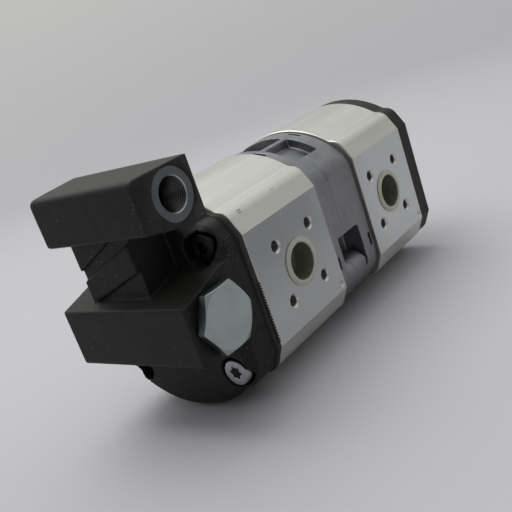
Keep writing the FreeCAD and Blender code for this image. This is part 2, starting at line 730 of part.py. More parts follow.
def stage_body(x0, x1, x_port):
    """Extruded pump body with its gear chamber, ports and screw holes."""
    edge = BODY_EDGE
    body = outline_solid(quadrant_body(0.0), x0 + edge, x1 - edge)
    body = body.multiFuse([tapered_outline(x0, edge, x0 + edge, 0.0), tapered_outline(x1 - edge, 0.0, x1, edge)])
    cuts = [twin_cylinders(CHAMBER_R, x0 - EPS, x1 + EPS)]
    cuts += port_cuts(-1, x_port, INLET_R, INLET_PCD)
    cuts += port_cuts(1, x_port, OUTLET_R, OUTLET_PCD)
    cuts += joint_cuts(x0, x1) + dowel_cuts(x0) + dowel_cuts(x1)
    mark_x = x1 - MARK_GAP
    cuts.append(cone_y(MARK_R, 0.2, -HALF_WIDTH, -HALF_WIDTH + MARK_R, mark_x, height(-MARK_H)))
    for cut in cuts:
        body = body.cut(cut)
    return body


def rear_stage_body():
    body = stage_body(X_REAR_JOINT, X_REAR_BODY_START, X_REAR_PORT)
    return body.cut(cyl_x(SIDE_GALLERY_R, X_REAR_JOINT - EPS, X_REAR_PORT, SIDE_GALLERY_Y, MID_Z))


def waist_ring(floor_r, y0, y1, sign):
    """Recess over the bulge between the two webs; sign picks the top or the underside."""
    x0, x1 = X_REAR_BODY_START + REAR_WEB, X_FRONT_BODY_END - FRONT_WEB
    centre = height(-sign * BULGE_DROP)
    ring = cyl_x(HOUSING_BULGE_R + EPS, x0, x1, 0, centre)
    ring = ring.cut(cyl_x(floor_r, x0 - EPS, x1 + EPS, 0, centre))
    far = height(sign * 2 * HOUSING_BULGE_R)
    return ring.common(box(x0 - EPS, x1 + EPS, y0, y1, height(sign * WAIST_LOW_H), far))


def side_pocket(sign):
    """Pocket beside a tie-screw boss; sign -1 is the inlet side's lower corner."""
    x0, x1 = X_REAR_BODY_START + REAR_WEB, X_FRONT_BODY_END - FRONT_WEB
    face = sign * (HOUSING_HALF_WIDTH + EPS)
    floor = sign * (HOUSING_HALF_WIDTH - POCKET_DEPTH)
    pocket = box(x0, x1, floor, face, height(sign * POCKET_TOP), height(sign * TIE_H))
    rounded = [e for e in pocket.Edges if abs(e.CenterOfMass.x - x1) < 0.1 and e.Length < x1 - x0]
    pocket = pocket.makeFillet(POCKET_CORNER_R, rounded)
    return pocket.cut(cyl_x(BOSS_R, x0 - EPS, x1 - BOSS_SETBACK, sign * TIE_Y, height(sign * TIE_H)))


def pry_slots(x, outward):
    """Small lever slots at a joint of a coupling housing."""
    along, length, deep = PRY_SLOT
    x0 = x + outward * PRY_SLOT_GAP
    x1 = x0 + outward * along
    half = length / 2
    side = HOUSING_HALF_WIDTH
    slots = []
    for sign in (-1, 1):
        z = height(sign * PRY_SLOT_H)
        slots.append(box(x0, x1, sign * (side - deep), sign * (side + EPS), z - half, z + half))
        crown = height(-sign * (HOUSING_BULGE_R - BULGE_DROP))
        floor = crown + sign * PRY_SLOT_TOP_DEPTH
        y = sign * PRY_SLOT_Y
        slots.append(box(x0, x1, y - half, y + half, floor, crown - sign * EPS))
    return slots


def housing_cuts():
    """Recesses that both coupling housings share across their split."""
    cuts = []
    for sign in (-1, 1):
        rib = -sign * RIB_Y
        cuts.append(waist_ring(WAIST_R, -sign * WAIST_END_Y, rib - sign * RIB_HALF, sign))
        cuts.append(waist_ring(DEEP_WAIST_R, rib + sign * RIB_HALF, sign * DEEP_WAIST_END_Y, sign))
        cuts.append(side_pocket(sign))
    sleeve_x0 = X_REAR_BODY_START + SEAL_LENGTH
    cuts.append(cyl_x(SLEEVE_R + SLEEVE_ROOM, sleeve_x0, X_FRONT_BODY_END - SLEEVE_END_WALL))
    return cuts


def joint_groove():
    """Shallow groove around the front housing's end, next to the front body."""
    along, deep = JOINT_GROOVE
    ring = outline_solid(quadrant_housing(-EPS), X_FRONT_BODY_END - along, X_FRONT_BODY_END + EPS)
    return ring.cut(outline_solid(quadrant_housing(deep), X_FRONT_BODY_END - along - EPS,
                                  X_FRONT_BODY_END + 2 * EPS))


def coupling_housing_rear():
    shape = outline_solid(quadrant_housing(0.0), X_REAR_BODY_START, X_SPLIT)
    cuts = housing_cuts() + pry_slots(X_REAR_BODY_START, 1) + joint_cuts(X_REAR_BODY_START, X_SPLIT)
    cuts += dowel_cuts(X_REAR_BODY_START) + dowel_cuts(X_SPLIT)
    cuts.append(body_ring(X_REAR_BODY_START, X_REAR_BODY_START + BODY_SEAL_DEPTH, SEATED))
    cuts.append(cyl_x(SEAL_R, X_REAR_BODY_START - EPS, X_REAR_BODY_START + SEAL_LENGTH))
    for cut in cuts:
        shape = shape.cut(cut)
    return shape


def coupling_housing_front():
    shape = outline_solid(quadrant_housing(0.0), X_SPLIT, X_FRONT_BODY_END)
    cuts = housing_cuts() + pry_slots(X_FRONT_BODY_END, -1) + joint_cuts(X_SPLIT, X_FRONT_BODY_END)
    cuts += dowel_cuts(X_SPLIT) + dowel_cuts(X_FRONT_BODY_END)
    cuts.append(body_ring(X_FRONT_BODY_END - BODY_SEAL_DEPTH, X_FRONT_BODY_END, SEATED))
    cuts.append(cyl_x(JOURNAL_R + SHAFT_GAP, X_SPLIT, X_FRONT_BODY_END + EPS))
    cuts.append(joint_groove())
    for cut in cuts:
        shape = shape.cut(cut)
    return shape


def front_cover():
    edge = FRONT_COVER_EDGE
    shape = outline_solid(quadrant_body(FRONT_COVER_INSET), X_COVER_JOINT, -edge)
    shape = shape.fuse(tapered_outline(-edge, FRONT_COVER_INSET, 0.0, FRONT_COVER_INSET + edge))
    pilot = cyl_x(PILOT_R, 0.0, PILOT_LENGTH)
    pilot = pilot.makeChamfer(PILOT_EDGE, [max(pilot.Edges, key=lambda e: e.CenterOfMass.x)])
    shape = shape.fuse(pilot)
    clip_x = SEAL_LENGTH - SEAL_SINK
    cuts = [
        cyl_x(JOURNAL_R + SHAFT_GAP, X_COVER_JOINT - EPS, PILOT_LENGTH + EPS),
        cyl_x(SEAL_R, -SEAL_SINK, PILOT_LENGTH + EPS),
        cyl_x(SEAL_R + CIRCLIP_STAND, clip_x, clip_x + CIRCLIP_LENGTH + 2 * SEATED),
        body_ring(X_COVER_JOINT, X_COVER_JOINT + BODY_SEAL_DEPTH, SEATED),
    ]
    cuts += dowel_cuts(X_COVER_JOINT)
    cuts += [cyl_x(TIE_R + SEATED, X_COVER_JOINT - EPS, EPS, y, z) for y, z in tie_places()]
    for side in (-1, 1):
        cuts.append(cyl_x(MOUNT_HOLE_R, -MOUNT_HOLE_DEPTH, EPS, side * MOUNT_HOLE_Y, MID_Z))
    for cut in cuts:
        shape = shape.cut(cut)
    return shape


# ---------------------------------------------------------------- fasteners
def tie_seat(y, z):
    """Station of a tie screw's seat in the valve cover."""
    near = y < 0 and z < MID_Z
    return X_REAR_JOINT - (TIE_SEAT_LOW if near else TIE_SEAT_SUNK)


def tie_screw(y, z):
    """One long screw with a six-lobed socket."""
    seat = tie_seat(y, z)
    top = seat - TIE_HEAD_LENGTH
    head = cyl_x(TIE_HEAD_R, top, seat, y, z)
    head = head.makeChamfer(TIE_HEAD_EDGE, [min(head.Edges, key=lambda e: e.CenterOfMass.x)])
    screw = head.fuse(cyl_x(TIE_R, seat, -TIE_TIP_GAP, y, z))
    bottom = top + SOCKET_DEPTH
    socket = cyl_x(SOCKET_R * SOCKET_CORE, top - EPS, bottom, y, z)
    place_r = SOCKET_R * SOCKET_LOBE_PLACE
    for i in range(6):
        angle = math.radians(60 * i + 15)
        lobe_y, lobe_z = y + place_r * math.cos(angle), z + place_r * math.sin(angle)
        socket = socket.fuse(cyl_x(SOCKET_R * SOCKET_LOBE, top - EPS, bottom, lobe_y, lobe_z))
    return screw.cut(socket)


def tie_screws():
    return Part.makeCompound([tie_screw(y, z) for y, z in tie_places()])


def locating_dowels():
    """Two dowels across each of the five joints of the stack."""
    pins = []
    for x in (X_REAR_JOINT, X_REAR_BODY_START, X_SPLIT, X_FRONT_BODY_END, X_COVER_JOINT):
        for y, z in dowel_places(x):
            pins.append(cyl_x(DOWEL_R, x - DOWEL_LENGTH / 2, x + DOWEL_LENGTH / 2, y, z))
    return Part.makeCompound(pins)


# ---------------------------------------------------------------- valve cover
def cover_flange():
    """Flange of the valve cover: machined rim at the joint, rough casting behind it."""
    rim = outline_solid(quadrant_body(0.0), X_REAR_JOINT - COVER_RIM, X_REAR_JOINT)
    x0 = X_REAR_JOINT - COVER_FLANGE
    x_slope = x0 + COVER_SLOPE
    cast = outline_solid(quadrant_body(CAST_INSET), x_slope, X_REAR_JOINT - COVER_RIM)
    slope = tapered_outline(x_slope, CAST_INSET, x0, CAST_INSET + COVER_SLOPE_INSET)
    return rim.multiFuse([cast, slope])


def cover_chin():
    """Thicker lower end of the flange, under the spool block."""
    x0 = X_REAR_JOINT - CHIN_REACH
    x_slope = x0 + CHIN_SLOPE
    cast = outline_solid(quadrant_body(CAST_INSET), x_slope, X_REAR_JOINT - COVER_RIM)
    slope = tapered_outline(x_slope, CAST_INSET, x0, CAST_INSET + CHIN_SLOPE_INSET)
    reach = 2 * HALF_WIDTH
    keep = box(x0 - EPS, X_REAR_JOINT, -reach, reach, DRIVEN_Z - reach, height(BLOCK_BOTTOM_H) + COVER_OVERLAP)
    return cast.fuse(slope).common(keep)


def lower_block():
    """Spool block that grows out of the flange, its top rising towards it."""
    x_rear = X_REAR_JOINT - BLOCK_REACH
    x_root = X_REAR_JOINT - COVER_FLANGE - COVER_OVERLAP
    x_in = X_REAR_JOINT - COVER_RIM - COVER_OVERLAP
    profile = [
        (x_rear, BLOCK_BOTTOM_H), (x_in, BLOCK_BOTTOM_H), (x_in, BLOCK_ROOT_H),
        (x_root, BLOCK_ROOT_H), (x_rear + BLOCK_TOP_FLAT, BLOCK_TOP_H), (x_rear, BLOCK_TOP_H),
    ]
    front = -HALF_WIDTH + CAST_INSET / 2
    points = [Vector(x, front, height(h)) for x, h in profile]
    block = prism(points, Vector(0, BLOCK_BACK_Y - front, 0))
    corners = [e for e in block.Edges
               if abs(e.CenterOfMass.x - x_rear) < 0.01 and abs(e.tangentAt(e.FirstParameter).x) < 0.01]
    return block.makeFillet(BLOCK_CORNER_R, corners)


def upper_block():
    """Port block carried by the web, with a lip that comes down towards the flange."""
    x_rear = X_REAR_JOINT - HEAD_REACH
    x_root = X_REAR_JOINT - HEAD_ROOT
    x_lip = x_root - HEAD_LIP_LENGTH
    profile = [
        (x_rear, HEAD_BOTTOM_H), (x_lip, HEAD_LIP_H), (x_root, HEAD_LIP_H),
        (x_root, HEAD_TOP_H), (x_rear, HEAD_TOP_H),
    ]
    points = [Vector(x, -HALF_WIDTH, height(h)) for x, h in profile]
    block = prism(points, Vector(0, HALF_WIDTH + HEAD_BACK_Y + HEAD_BACK_SLANT, 0))
    slant = [
        Vector(x_rear - EPS, HEAD_BACK_Y, 0), Vector(x_root, HEAD_BACK_Y + HEAD_BACK_SLANT, 0),
        Vector(x_root, HEAD_BACK_Y + 3 * HEAD_BACK_SLANT, 0),
        Vector(x_rear - EPS, HEAD_BACK_Y + 3 * HEAD_BACK_SLANT, 0),
    ]
    low = height(HEAD_LIP_H) - EPS
    block = block.cut(prism([p + Vector(0, 0, low) for p in slant], Vector(0, 0, 2 * HEAD_TOP_H)))
    inner = box(x_rear - EPS, x_lip + EPS, WEB_BACK_Y, 2 * HALF_WIDTH, low, height(HEAD_BOTTOM_H))
    block = block.cut(inner)
    return round_corners(block, COVER_CORNER_R)


def round_corners(block, radius):
    """Round a block's straight outer edges, leaving the machined port side crisp."""
    edges = []
    for e in block.Edges:
        middle = e.CenterOfMass
        crisp = abs(middle.y + HALF_WIDTH) < 0.5
        lip_end = X_REAR_JOINT - HEAD_ROOT - HEAD_LIP_LENGTH
        inward = middle.x > lip_end - 0.5 or middle.z < height(HEAD_BOTTOM_H) + 0.5
        if not crisp and not inward and e.Length > 4 * radius:
            edges.append(e)
    return block.makeFillet(radius, edges) if edges else block


def web_column():
    """Web that joins the two blocks, with the slanted raised bands on its rear face."""
    x_rear = X_REAR_JOINT - WEB_REACH
    x_in = X_REAR_JOINT - COVER_RIM - COVER_OVERLAP
    low, high = height(BLOCK_TOP_H - 2 * COVER_OVERLAP), height(HEAD_BOTTOM_H + 2 * COVER_OVERLAP)
    web = box(x_rear, x_in, WEB_FRONT_Y, WEB_BACK_Y, low, high)
    bands = [
        [(WEB_BACK_Y - COVER_OVERLAP, LOW_BAND_EDGE_H), (WEB_FRONT_Y, LOW_BAND_RISE_H),
         (WEB_FRONT_Y, LOW_BAND_TOP_H), (WEB_BACK_Y, LOW_BAND_H), (WEB_BACK_Y, LOW_BAND_EDGE_H)],
        [(WEB_BACK_Y, HIGH_BAND_H), HIGH_BAND_PEAK, (HIGH_BAND_TOP_Y, HEAD_BOTTOM_H), (WEB_BACK_Y, HEAD_BOTTOM_H)],
    ]
    for band in bands:
        points = [Vector(x_rear + EPS, y, height(h)) for y, h in band]
        web = web.fuse(prism(points, Vector(-BAND_STAND - EPS, 0, 0)))
    return web


def cover_drillings():
    """Spool bore, upper port and the drillings that join them."""
    z_spool = height(SPOOL_H)
    z_port = height(UPPER_PORT_H)
    face = -HALF_WIDTH
    bottom_y = face + UPPER_PORT_DEPTH
    cuts = [
        cyl_y(SPOOL_R, HEX_PLUG_NOSE_Y - EPS, SPOOL_FAR_Y, X_SPOOL, z_spool),
        cyl_y(HEX_PLUG_R + SEATED, face - EPS, HEX_PLUG_NOSE_Y, X_SPOOL, z_spool),
        cyl_y(HEX_SEAL_R, face - EPS, seal_face_y(), X_SPOOL, z_spool),
        cyl_y(END_PLUG_R + SEATED, SPOOL_FAR_Y, BLOCK_BACK_Y + EPS, X_SPOOL, z_spool),
        cyl_y(UPPER_PORT_R, face - EPS, bottom_y, X_UPPER_PORT, z_port),
        cone_y(UPPER_PORT_R + UPPER_PORT_SINK, UPPER_PORT_R, face, face + UPPER_PORT_SINK, X_UPPER_PORT, z_port),
        cyl_y(GALLERY_R, bottom_y - EPS, 0.0, X_UPPER_PORT, z_port),
        cyl_z(GALLERY_R, z_spool, z_port, X_UPPER_PORT, 0.0),
        cyl_x(SIDE_GALLERY_R, X_SPOOL, X_REAR_JOINT + EPS, SIDE_GALLERY_Y, MID_Z),
        cyl_x(SIDE_SEAL_R + SEATED, X_REAR_JOINT - BODY_SEAL_DEPTH, X_REAR_JOINT + EPS, SIDE_GALLERY_Y, MID_Z),
    ]
    spot_y = face + UPPER_PORT_FACE_DEPTH
    return cuts + [cyl_y(UPPER_PORT_FACE_R, face - EPS, spot_y, X_UPPER_PORT, z_port)]


def rear_valve_cover():
    shape = cover_flange().multiFuse([cover_chin(), lower_block(), web_column(), upper_block()])
    cuts = cover_drillings() + dowel_cuts(X_REAR_JOINT)
    cuts.append(body_ring(X_REAR_JOINT - BODY_SEAL_DEPTH, X_REAR_JOINT, SEATED))
    for y, z in tie_places():
        seat = tie_seat(y, z)
        cuts.append(cyl_x(TIE_R + SCREW_CLEARANCE, seat - EPS, X_REAR_JOINT + EPS, y, z))
        cuts.append(cyl_x(TIE_POCKET_R, X_REAR_JOINT - BLOCK_REACH / 2, seat, y, z))
    for cut in cuts:
        shape = shape.cut(cut)
    return shape


def side_gallery_seal():
    x0 = X_REAR_JOINT - BODY_SEAL_DEPTH
    ring = cyl_x(SIDE_SEAL_R, x0, X_REAR_JOINT, SIDE_GALLERY_Y, MID_Z)
    return ring.cut(cyl_x(SIDE_SEAL_HOLE_R, x0 - EPS, X_REAR_JOINT + EPS, SIDE_GALLERY_Y, MID_Z))


def seal_face_y():
    """Spot face that the hex plug's sealing ring sits on."""
    return -HALF_WIDTH + SEAL_FACE_DEPTH


def hex_plug():
    z = height(SPOOL_H)
    base = seal_face_y() - HEX_SEAL_LENGTH
    top = base - HEX_HEAD_LENGTH
    head = hexagon_prism(HEX_PLUG_FLATS, Vector(X_SPOOL, base, z), Vector(0, -HEX_HEAD_LENGTH, 0), HEX_PLUG_TURN)
    corner_r = HEX_PLUG_FLATS / math.sqrt(3)
    head = head.common(cone_y(corner_r + 7.0, corner_r - 1.2, base, top, X_SPOOL, z))
    shank = cyl_y(HEX_PLUG_R, base, HEX_PLUG_NOSE_Y, X_SPOOL, z)
    seat = cyl_y(SPRING_SEAT_R, HEX_PLUG_NOSE_Y - SPRING_SEAT_DEPTH, HEX_PLUG_NOSE_Y + EPS, X_SPOOL, z)
    return head.fuse(shank).cut(seat)


def hex_plug_seal():
    z = height(SPOOL_H)
    y0 = seal_face_y() - HEX_SEAL_LENGTH
    ring = cyl_y(HEX_SEAL_R - 0.1, y0, y0 + HEX_SEAL_LENGTH, X_SPOOL, z)
    return ring.cut(cyl_y(HEX_PLUG_R + SEATED, y0 - EPS, y0 + HEX_SEAL_LENGTH + EPS, X_SPOOL, z))


def end_plug():
    z = height(SPOOL_H)
    base = BLOCK_BACK_Y + END_SEAL_LENGTH
    top = base + END_HEAD_LENGTH
    head = cyl_y(END_HEAD_R, base, top, X_SPOOL, z)
    head = head.makeChamfer(END_HEAD_EDGE, [max(head.Edges, key=lambda e: e.CenterOfMass.y)])
    depth = END_SOCKET_DEPTH + EPS
    socket = hexagon_prism(END_SOCKET_FLATS, Vector(X_SPOOL, top + EPS, z), Vector(0, -depth, 0))
    return head.fuse(cyl_y(END_PLUG_R, SPOOL_FAR_Y, base, X_SPOOL, z)).cut(socket)


def end_plug_seal():
    z = height(SPOOL_H)
    ring = cyl_y(END_HEAD_R - 0.5, BLOCK_BACK_Y, BLOCK_BACK_Y + END_SEAL_LENGTH, X_SPOOL, z)
    return ring.cut(cyl_y(END_PLUG_R + SEATED, BLOCK_BACK_Y - EPS, BLOCK_BACK_Y + 2 * EPS, X_SPOOL, z))


def valve_spool():
    """Spool with three lands, a drilled nose and a cross hole."""
    z = height(SPOOL_H)
    land_r = SPOOL_R - RUNNING
    far = SPOOL_NEAR_Y + SPOOL_LENGTH
    spool = cyl_y(land_r, SPOOL_NEAR_Y, far, X_SPOOL, z)
    for start in SPOOL_NECKS:
        neck_y = SPOOL_NEAR_Y + start
        neck = cyl_y(SPOOL_R + EPS, neck_y, neck_y + SPOOL_NECK_LENGTH, X_SPOOL, z)
        neck = neck.cut(cyl_y(land_r - SPOOL_NECK_DEPTH, SPOOL_NEAR_Y, far, X_SPOOL, z))
        spool = spool.cut(neck)
    bore = cyl_y(SPOOL_BORE_R, SPOOL_NEAR_Y - EPS, SPOOL_NEAR_Y + SPOOL_BORE_LENGTH, X_SPOOL, z)
    cross = cyl_z(SPOOL_CROSS_R, z - SPOOL_R, z + SPOOL_R, X_SPOOL, SPOOL_NEAR_Y + SPOOL_CROSS_Y)
    return spool.cut(bore).cut(cross)


def spool_spring():
    """Coil spring between the hex plug's pocket and the spool."""
    z = height(SPOOL_H)
    margin = SPRING_WIRE_R + 0.05
    y0 = HEX_PLUG_NOSE_Y - SPRING_SEAT_DEPTH + margin
    length = SPOOL_NEAR_Y - margin - y0
    helix = Part.makeHelix(length / SPRING_TURNS, length, SPRING_MEAN_R)
    section = Part.Wire(Part.makeCircle(SPRING_WIRE_R, Vector(SPRING_MEAN_R, 0, 0), Vector(0, 1, 0)))
    spring = Part.Wire(helix).makePipeShell([section], True, True)
    spring.rotate(Vector(0, 0, 0), Vector(1, 0, 0), -90)
    spring.translate(Vector(X_SPOOL, y0, z))
    return spring


# ---------------------------------------------------------------- assembly
def build():
    rear = (X_REAR_JOINT, X_REAR_BODY_START, X_REAR_PORT, REAR_GEAR_WIDTH)
    front = (X_FRONT_BODY_END, X_COVER_JOINT, X_FRONT_PORT, FRONT_GEAR_WIDTH)
    nodes = {
        "rear_valve_cover": rear_valve_cover(),
        "rear_stage_body": rear_stage_body(),
        "coupling_housing_rear": coupling_housing_rear(),
        "coupling_housing_front": coupling_housing_front(),
        "front_stage_body": stage_body(X_FRONT_BODY_END, X_COVER_JOINT, X_FRONT_PORT),
        "front_cover": front_cover(),
        "tie_screws": tie_screws(),
        "locating_dowels": locating_dowels(),
        "rear_drive_gear": rear_drive_gear(),
        "front_drive_gear": front_drive_gear(),
        "rear_driven_gear": driven_gear(*rear),
        "front_driven_gear": driven_gear(*front),
        "coupling_sleeve": coupling_sleeve(),
        "shaft_key": shaft_key(),
        "lock_washer": lock_washer(),
        "shaft_nut": shaft_nut(),
        "body_seals": body_seals(),
        "side_gallery_seal": side_gallery_seal(),
        "shaft_seal": lip_seal(-SEAL_SINK),
        "seal_circlip": circlip(),
        "stage_seal": lip_seal(X_REAR_BODY_START),
        "hex_plug": hex_plug(),
        "hex_plug_seal": hex_plug_seal(),
        "end_plug": end_plug(),
        "end_plug_seal": end_plug_seal(),
        "valve_spool": valve_spool(),
        "spool_spring": spool_spring(),
    }
    for stage, sizes in (("rear", rear), ("front", front)):
        rear_block, front_block = stage_blocks(*sizes)
        nodes[stage + "_stage_rear_block"] = rear_block
        nodes[stage + "_stage_front_block"] = front_block
        nodes[stage + "_stage_bushes"] = stage_bushes(*sizes)
        nodes[stage + "_stage_balance_seals"] = stage_balance_seals(sizes[0], sizes[1])
        nodes[stage + "_inlet_plug"] = port_plug(-1, sizes[2], INLET_R)
        nodes[stage + "_outlet_plug"] = port_plug(1, sizes[2], OUTLET_R)
    return nodes


os.makedirs("parts", exist_ok=True)
for name, solid in build().items():
    export(solid, name)
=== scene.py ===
"""Looks of a tandem hydraulic gear pump.

Two drawn aluminium bodies, cast coupling housings between them, a dark front cover with its
spigot and taper shaft, and a sand-cast valve block as the rear cover. Every length below is
in millimetres unless it says otherwise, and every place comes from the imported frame.
"""

import json
import logging
import math
from dataclasses import dataclass
from enum import Enum
from typing import Callable, Iterable, Optional, Sequence, Union

import bmesh
import bpy
import numpy as np
from mathutils import Matrix, Vector, noise


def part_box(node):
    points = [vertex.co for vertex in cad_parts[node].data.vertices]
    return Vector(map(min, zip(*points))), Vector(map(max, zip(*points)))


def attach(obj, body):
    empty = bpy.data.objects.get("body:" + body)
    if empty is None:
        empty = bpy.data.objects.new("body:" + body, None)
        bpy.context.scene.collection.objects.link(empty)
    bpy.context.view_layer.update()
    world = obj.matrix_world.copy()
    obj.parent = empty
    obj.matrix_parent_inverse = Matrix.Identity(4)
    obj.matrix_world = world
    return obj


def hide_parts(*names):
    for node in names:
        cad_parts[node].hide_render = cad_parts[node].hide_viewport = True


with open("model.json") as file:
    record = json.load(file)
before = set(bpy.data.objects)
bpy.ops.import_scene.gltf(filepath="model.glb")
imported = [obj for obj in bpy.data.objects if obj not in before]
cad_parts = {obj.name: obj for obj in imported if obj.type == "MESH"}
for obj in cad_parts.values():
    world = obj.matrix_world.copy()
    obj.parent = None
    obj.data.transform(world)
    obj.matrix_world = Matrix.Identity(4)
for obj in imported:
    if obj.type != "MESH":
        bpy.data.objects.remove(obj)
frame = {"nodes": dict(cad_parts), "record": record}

LOG = logging.getLogger("pump_looks")
MM = 0.001

Shape = Union[float, Callable[[float], float]]
Ring = tuple[Shape, Shape]
Colour = tuple[float, float, float]


class Stage(Enum):
    """The two pumping stages, by the prefix that their nodes carry."""

    REAR = "rear"
    FRONT = "front"


class PortSide(Enum):
    """Sides of a body that carry a port: the sign of Y, and the name in its nodes."""

    INLET = (-1, "inlet")
    OUTLET = (1, "outlet")

    @property
    def sign(self) -> int:
        """Sign of Y on this side."""
        return self.value[0]

    @property
    def label(self) -> str:
        """Name of this side in node names."""
        return self.value[1]


# ---------------------------------------------------------------- where things are
@dataclass(frozen=True)
class Place:
    """Box of one node at rest, in millimetres.

    Attributes:
        low: Lowest corner.
        high: Highest corner.
    """

    low: Vector
    high: Vector

    @classmethod
    def of(cls, node: str) -> "Place":
        """Read a node's box from the frame."""
        low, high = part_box(node)
        return cls(low / MM, high / MM)

    @property
    def centre(self) -> Vector:
        """Middle of the box."""
        return (self.low + self.high) / 2


def srgb(hex_code: str) -> Colour:
    """Turn a six-digit colour code into linear red, green and blue.

    Args:
        hex_code: Two digits each for red, green and blue.

    Returns:
        The three linear values.
    """
    values = [int(hex_code[i:i + 2], 16) / 255 for i in (0, 2, 4)]
    return tuple(v / 12.92 if v <= 0.04045 else ((v + 0.055) / 1.055) ** 2.4 for v in values)


# ---------------------------------------------------------------- material building
class Graph:
    """A material's node tree with one principled shader, and short calls to build on it."""

    def __init__(self, name: str) -> None:
        """Start an empty material of this name."""
        self.material = bpy.data.materials.new(name)
        self.material.use_nodes = True
        self.tree = self.material.node_tree
        self.tree.nodes.clear()
        output = self.tree.nodes.new("ShaderNodeOutputMaterial")
        self.shader = self.tree.nodes.new("ShaderNodeBsdfPrincipled")
        self.tree.links.new(self.shader.outputs[0], output.inputs[0])
        self.coordinates = self.tree.nodes.new("ShaderNodeTexCoord")

    def link(self, value: object, socket: bpy.types.NodeSocket) -> None:
        """Feed a socket with another socket or with a plain value."""
        if isinstance(value, bpy.types.NodeSocket):
            self.tree.links.new(value, socket)
        elif isinstance(value, tuple) and len(value) == 3 and len(socket.default_value) == 4:
            socket.default_value = (*value, 1.0)
        else:
            socket.default_value = value

    def set(self, **values: object) -> None:
        """Set the shader's sockets, named in words joined by underscores."""
        for name, value in values.items():
            self.link(value, self.shader.inputs[name.replace("_", " ").title().replace("Ior", "IOR")])

    def math(self, operation: str, a: object, b: object = 0.0, clamp: bool = False) -> bpy.types.NodeSocket:
        """Work out one operation on two values.

        Args:
            operation: Name of the operation.
            a: First value or socket.
            b: Second value or socket.
            clamp: Whether the result stays between 0 and 1.

        Returns:
            The socket that holds the result.
        """
        node = self.tree.nodes.new("ShaderNodeMath")
        node.operation = operation
        node.use_clamp = clamp
        self.link(a, node.inputs[0])
        self.link(b, node.inputs[1])
        return node.outputs[0]

    def mix(self, share: object, a: object, b: object) -> bpy.types.NodeSocket:
        """Blend two colours by a share from 0 to 1."""
        node = self.tree.nodes.new("ShaderNodeMix")
        node.data_type = "RGBA"
        self.link(share, node.inputs[0])
        self.link(a, node.inputs[6])
        self.link(b, node.inputs[7])
        return node.outputs[2]

    def ramp(self, value: object, low: float, high: float, start: float = 0.0,
             end: float = 1.0) -> bpy.types.NodeSocket:
        """Map a value's range to another, without going past its ends.

        Args:
            value: Socket to map.
            low: Value that gives start.
            high: Value that gives end.
            start: Result at low.
            end: Result at high.

        Returns:
            The socket that holds the result.
        """
        node = self.tree.nodes.new("ShaderNodeMapRange")
        self.link(value, node.inputs[0])
        for socket, number in zip(node.inputs[1:5], (low, high, start, end)):
            socket.default_value = number
        return node.outputs[0]

    def place(self, stretch: Colour = (1.0, 1.0, 1.0)) -> bpy.types.NodeSocket:
        """Position on the object in metres, stretched along its axes."""
        node = self.tree.nodes.new("ShaderNodeMapping")
        self.link(self.coordinates.outputs["Object"], node.inputs["Vector"])
        node.inputs["Scale"].default_value = stretch
        return node.outputs[0]

    def parts(self, vector: bpy.types.NodeSocket) -> Sequence[bpy.types.NodeSocket]:
        """Split a vector into its X, Y and Z."""
        node = self.tree.nodes.new("ShaderNodeSeparateXYZ")
        self.link(vector, node.inputs[0])
        return node.outputs

    def noise(self, scale: float, detail: float = 3.0, stretch: Colour = (1.0, 1.0, 1.0),
              distortion: float = 0.0) -> bpy.types.NodeSocket:
        """Cloudy noise.

        Args:
            scale: Features per metre.
            detail: Number of finer layers.
            stretch: Scale factors along X, Y and Z.
            distortion: How much the pattern is bent.

        Returns:
            The socket with the noise, from 0 to 1.
        """
        node = self.tree.nodes.new("ShaderNodeTexNoise")
        self.link(self.place(stretch), node.inputs["Vector"])
        node.inputs["Scale"].default_value = scale
        node.inputs["Detail"].default_value = detail
        node.inputs["Distortion"].default_value = distortion
        return node.outputs["Fac"]

    def cells(self, scale: float) -> bpy.types.NodeSocket:
        """Distance to the nearest of many scattered points, from 0 at a point."""
        node = self.tree.nodes.new("ShaderNodeTexVoronoi")
        self.link(self.place(), node.inputs["Vector"])
        node.inputs["Scale"].default_value = scale
        return node.outputs["Distance"]

    def bump(self, height: object, depth_mm: float, strength: float = 1.0,
             under: Optional[bpy.types.NodeSocket] = None) -> bpy.types.NodeSocket:
        """Relief from a height map.

        Args:
            height: Height from 0 to 1.
            depth_mm: Height of a full step.
            strength: How much of the relief shows.
            under: Normal that this relief lies on.

        Returns:
            The socket with the bent normal.
        """
        node = self.tree.nodes.new("ShaderNodeBump")
        node.inputs["Strength"].default_value = strength
        node.inputs["Distance"].default_value = depth_mm * MM
        self.link(height, node.inputs["Height"])
        if under is not None:
            self.link(under, node.inputs["Normal"])
        return node.outputs[0]

    def edge_share(self, low: float, high: float) -> bpy.types.NodeSocket:
        """Share that rises from 0 on flats to 1 on worn outer edges."""
        geometry = self.tree.nodes.new("ShaderNodeNewGeometry")
        return self.ramp(geometry.outputs["Pointiness"], low, high)


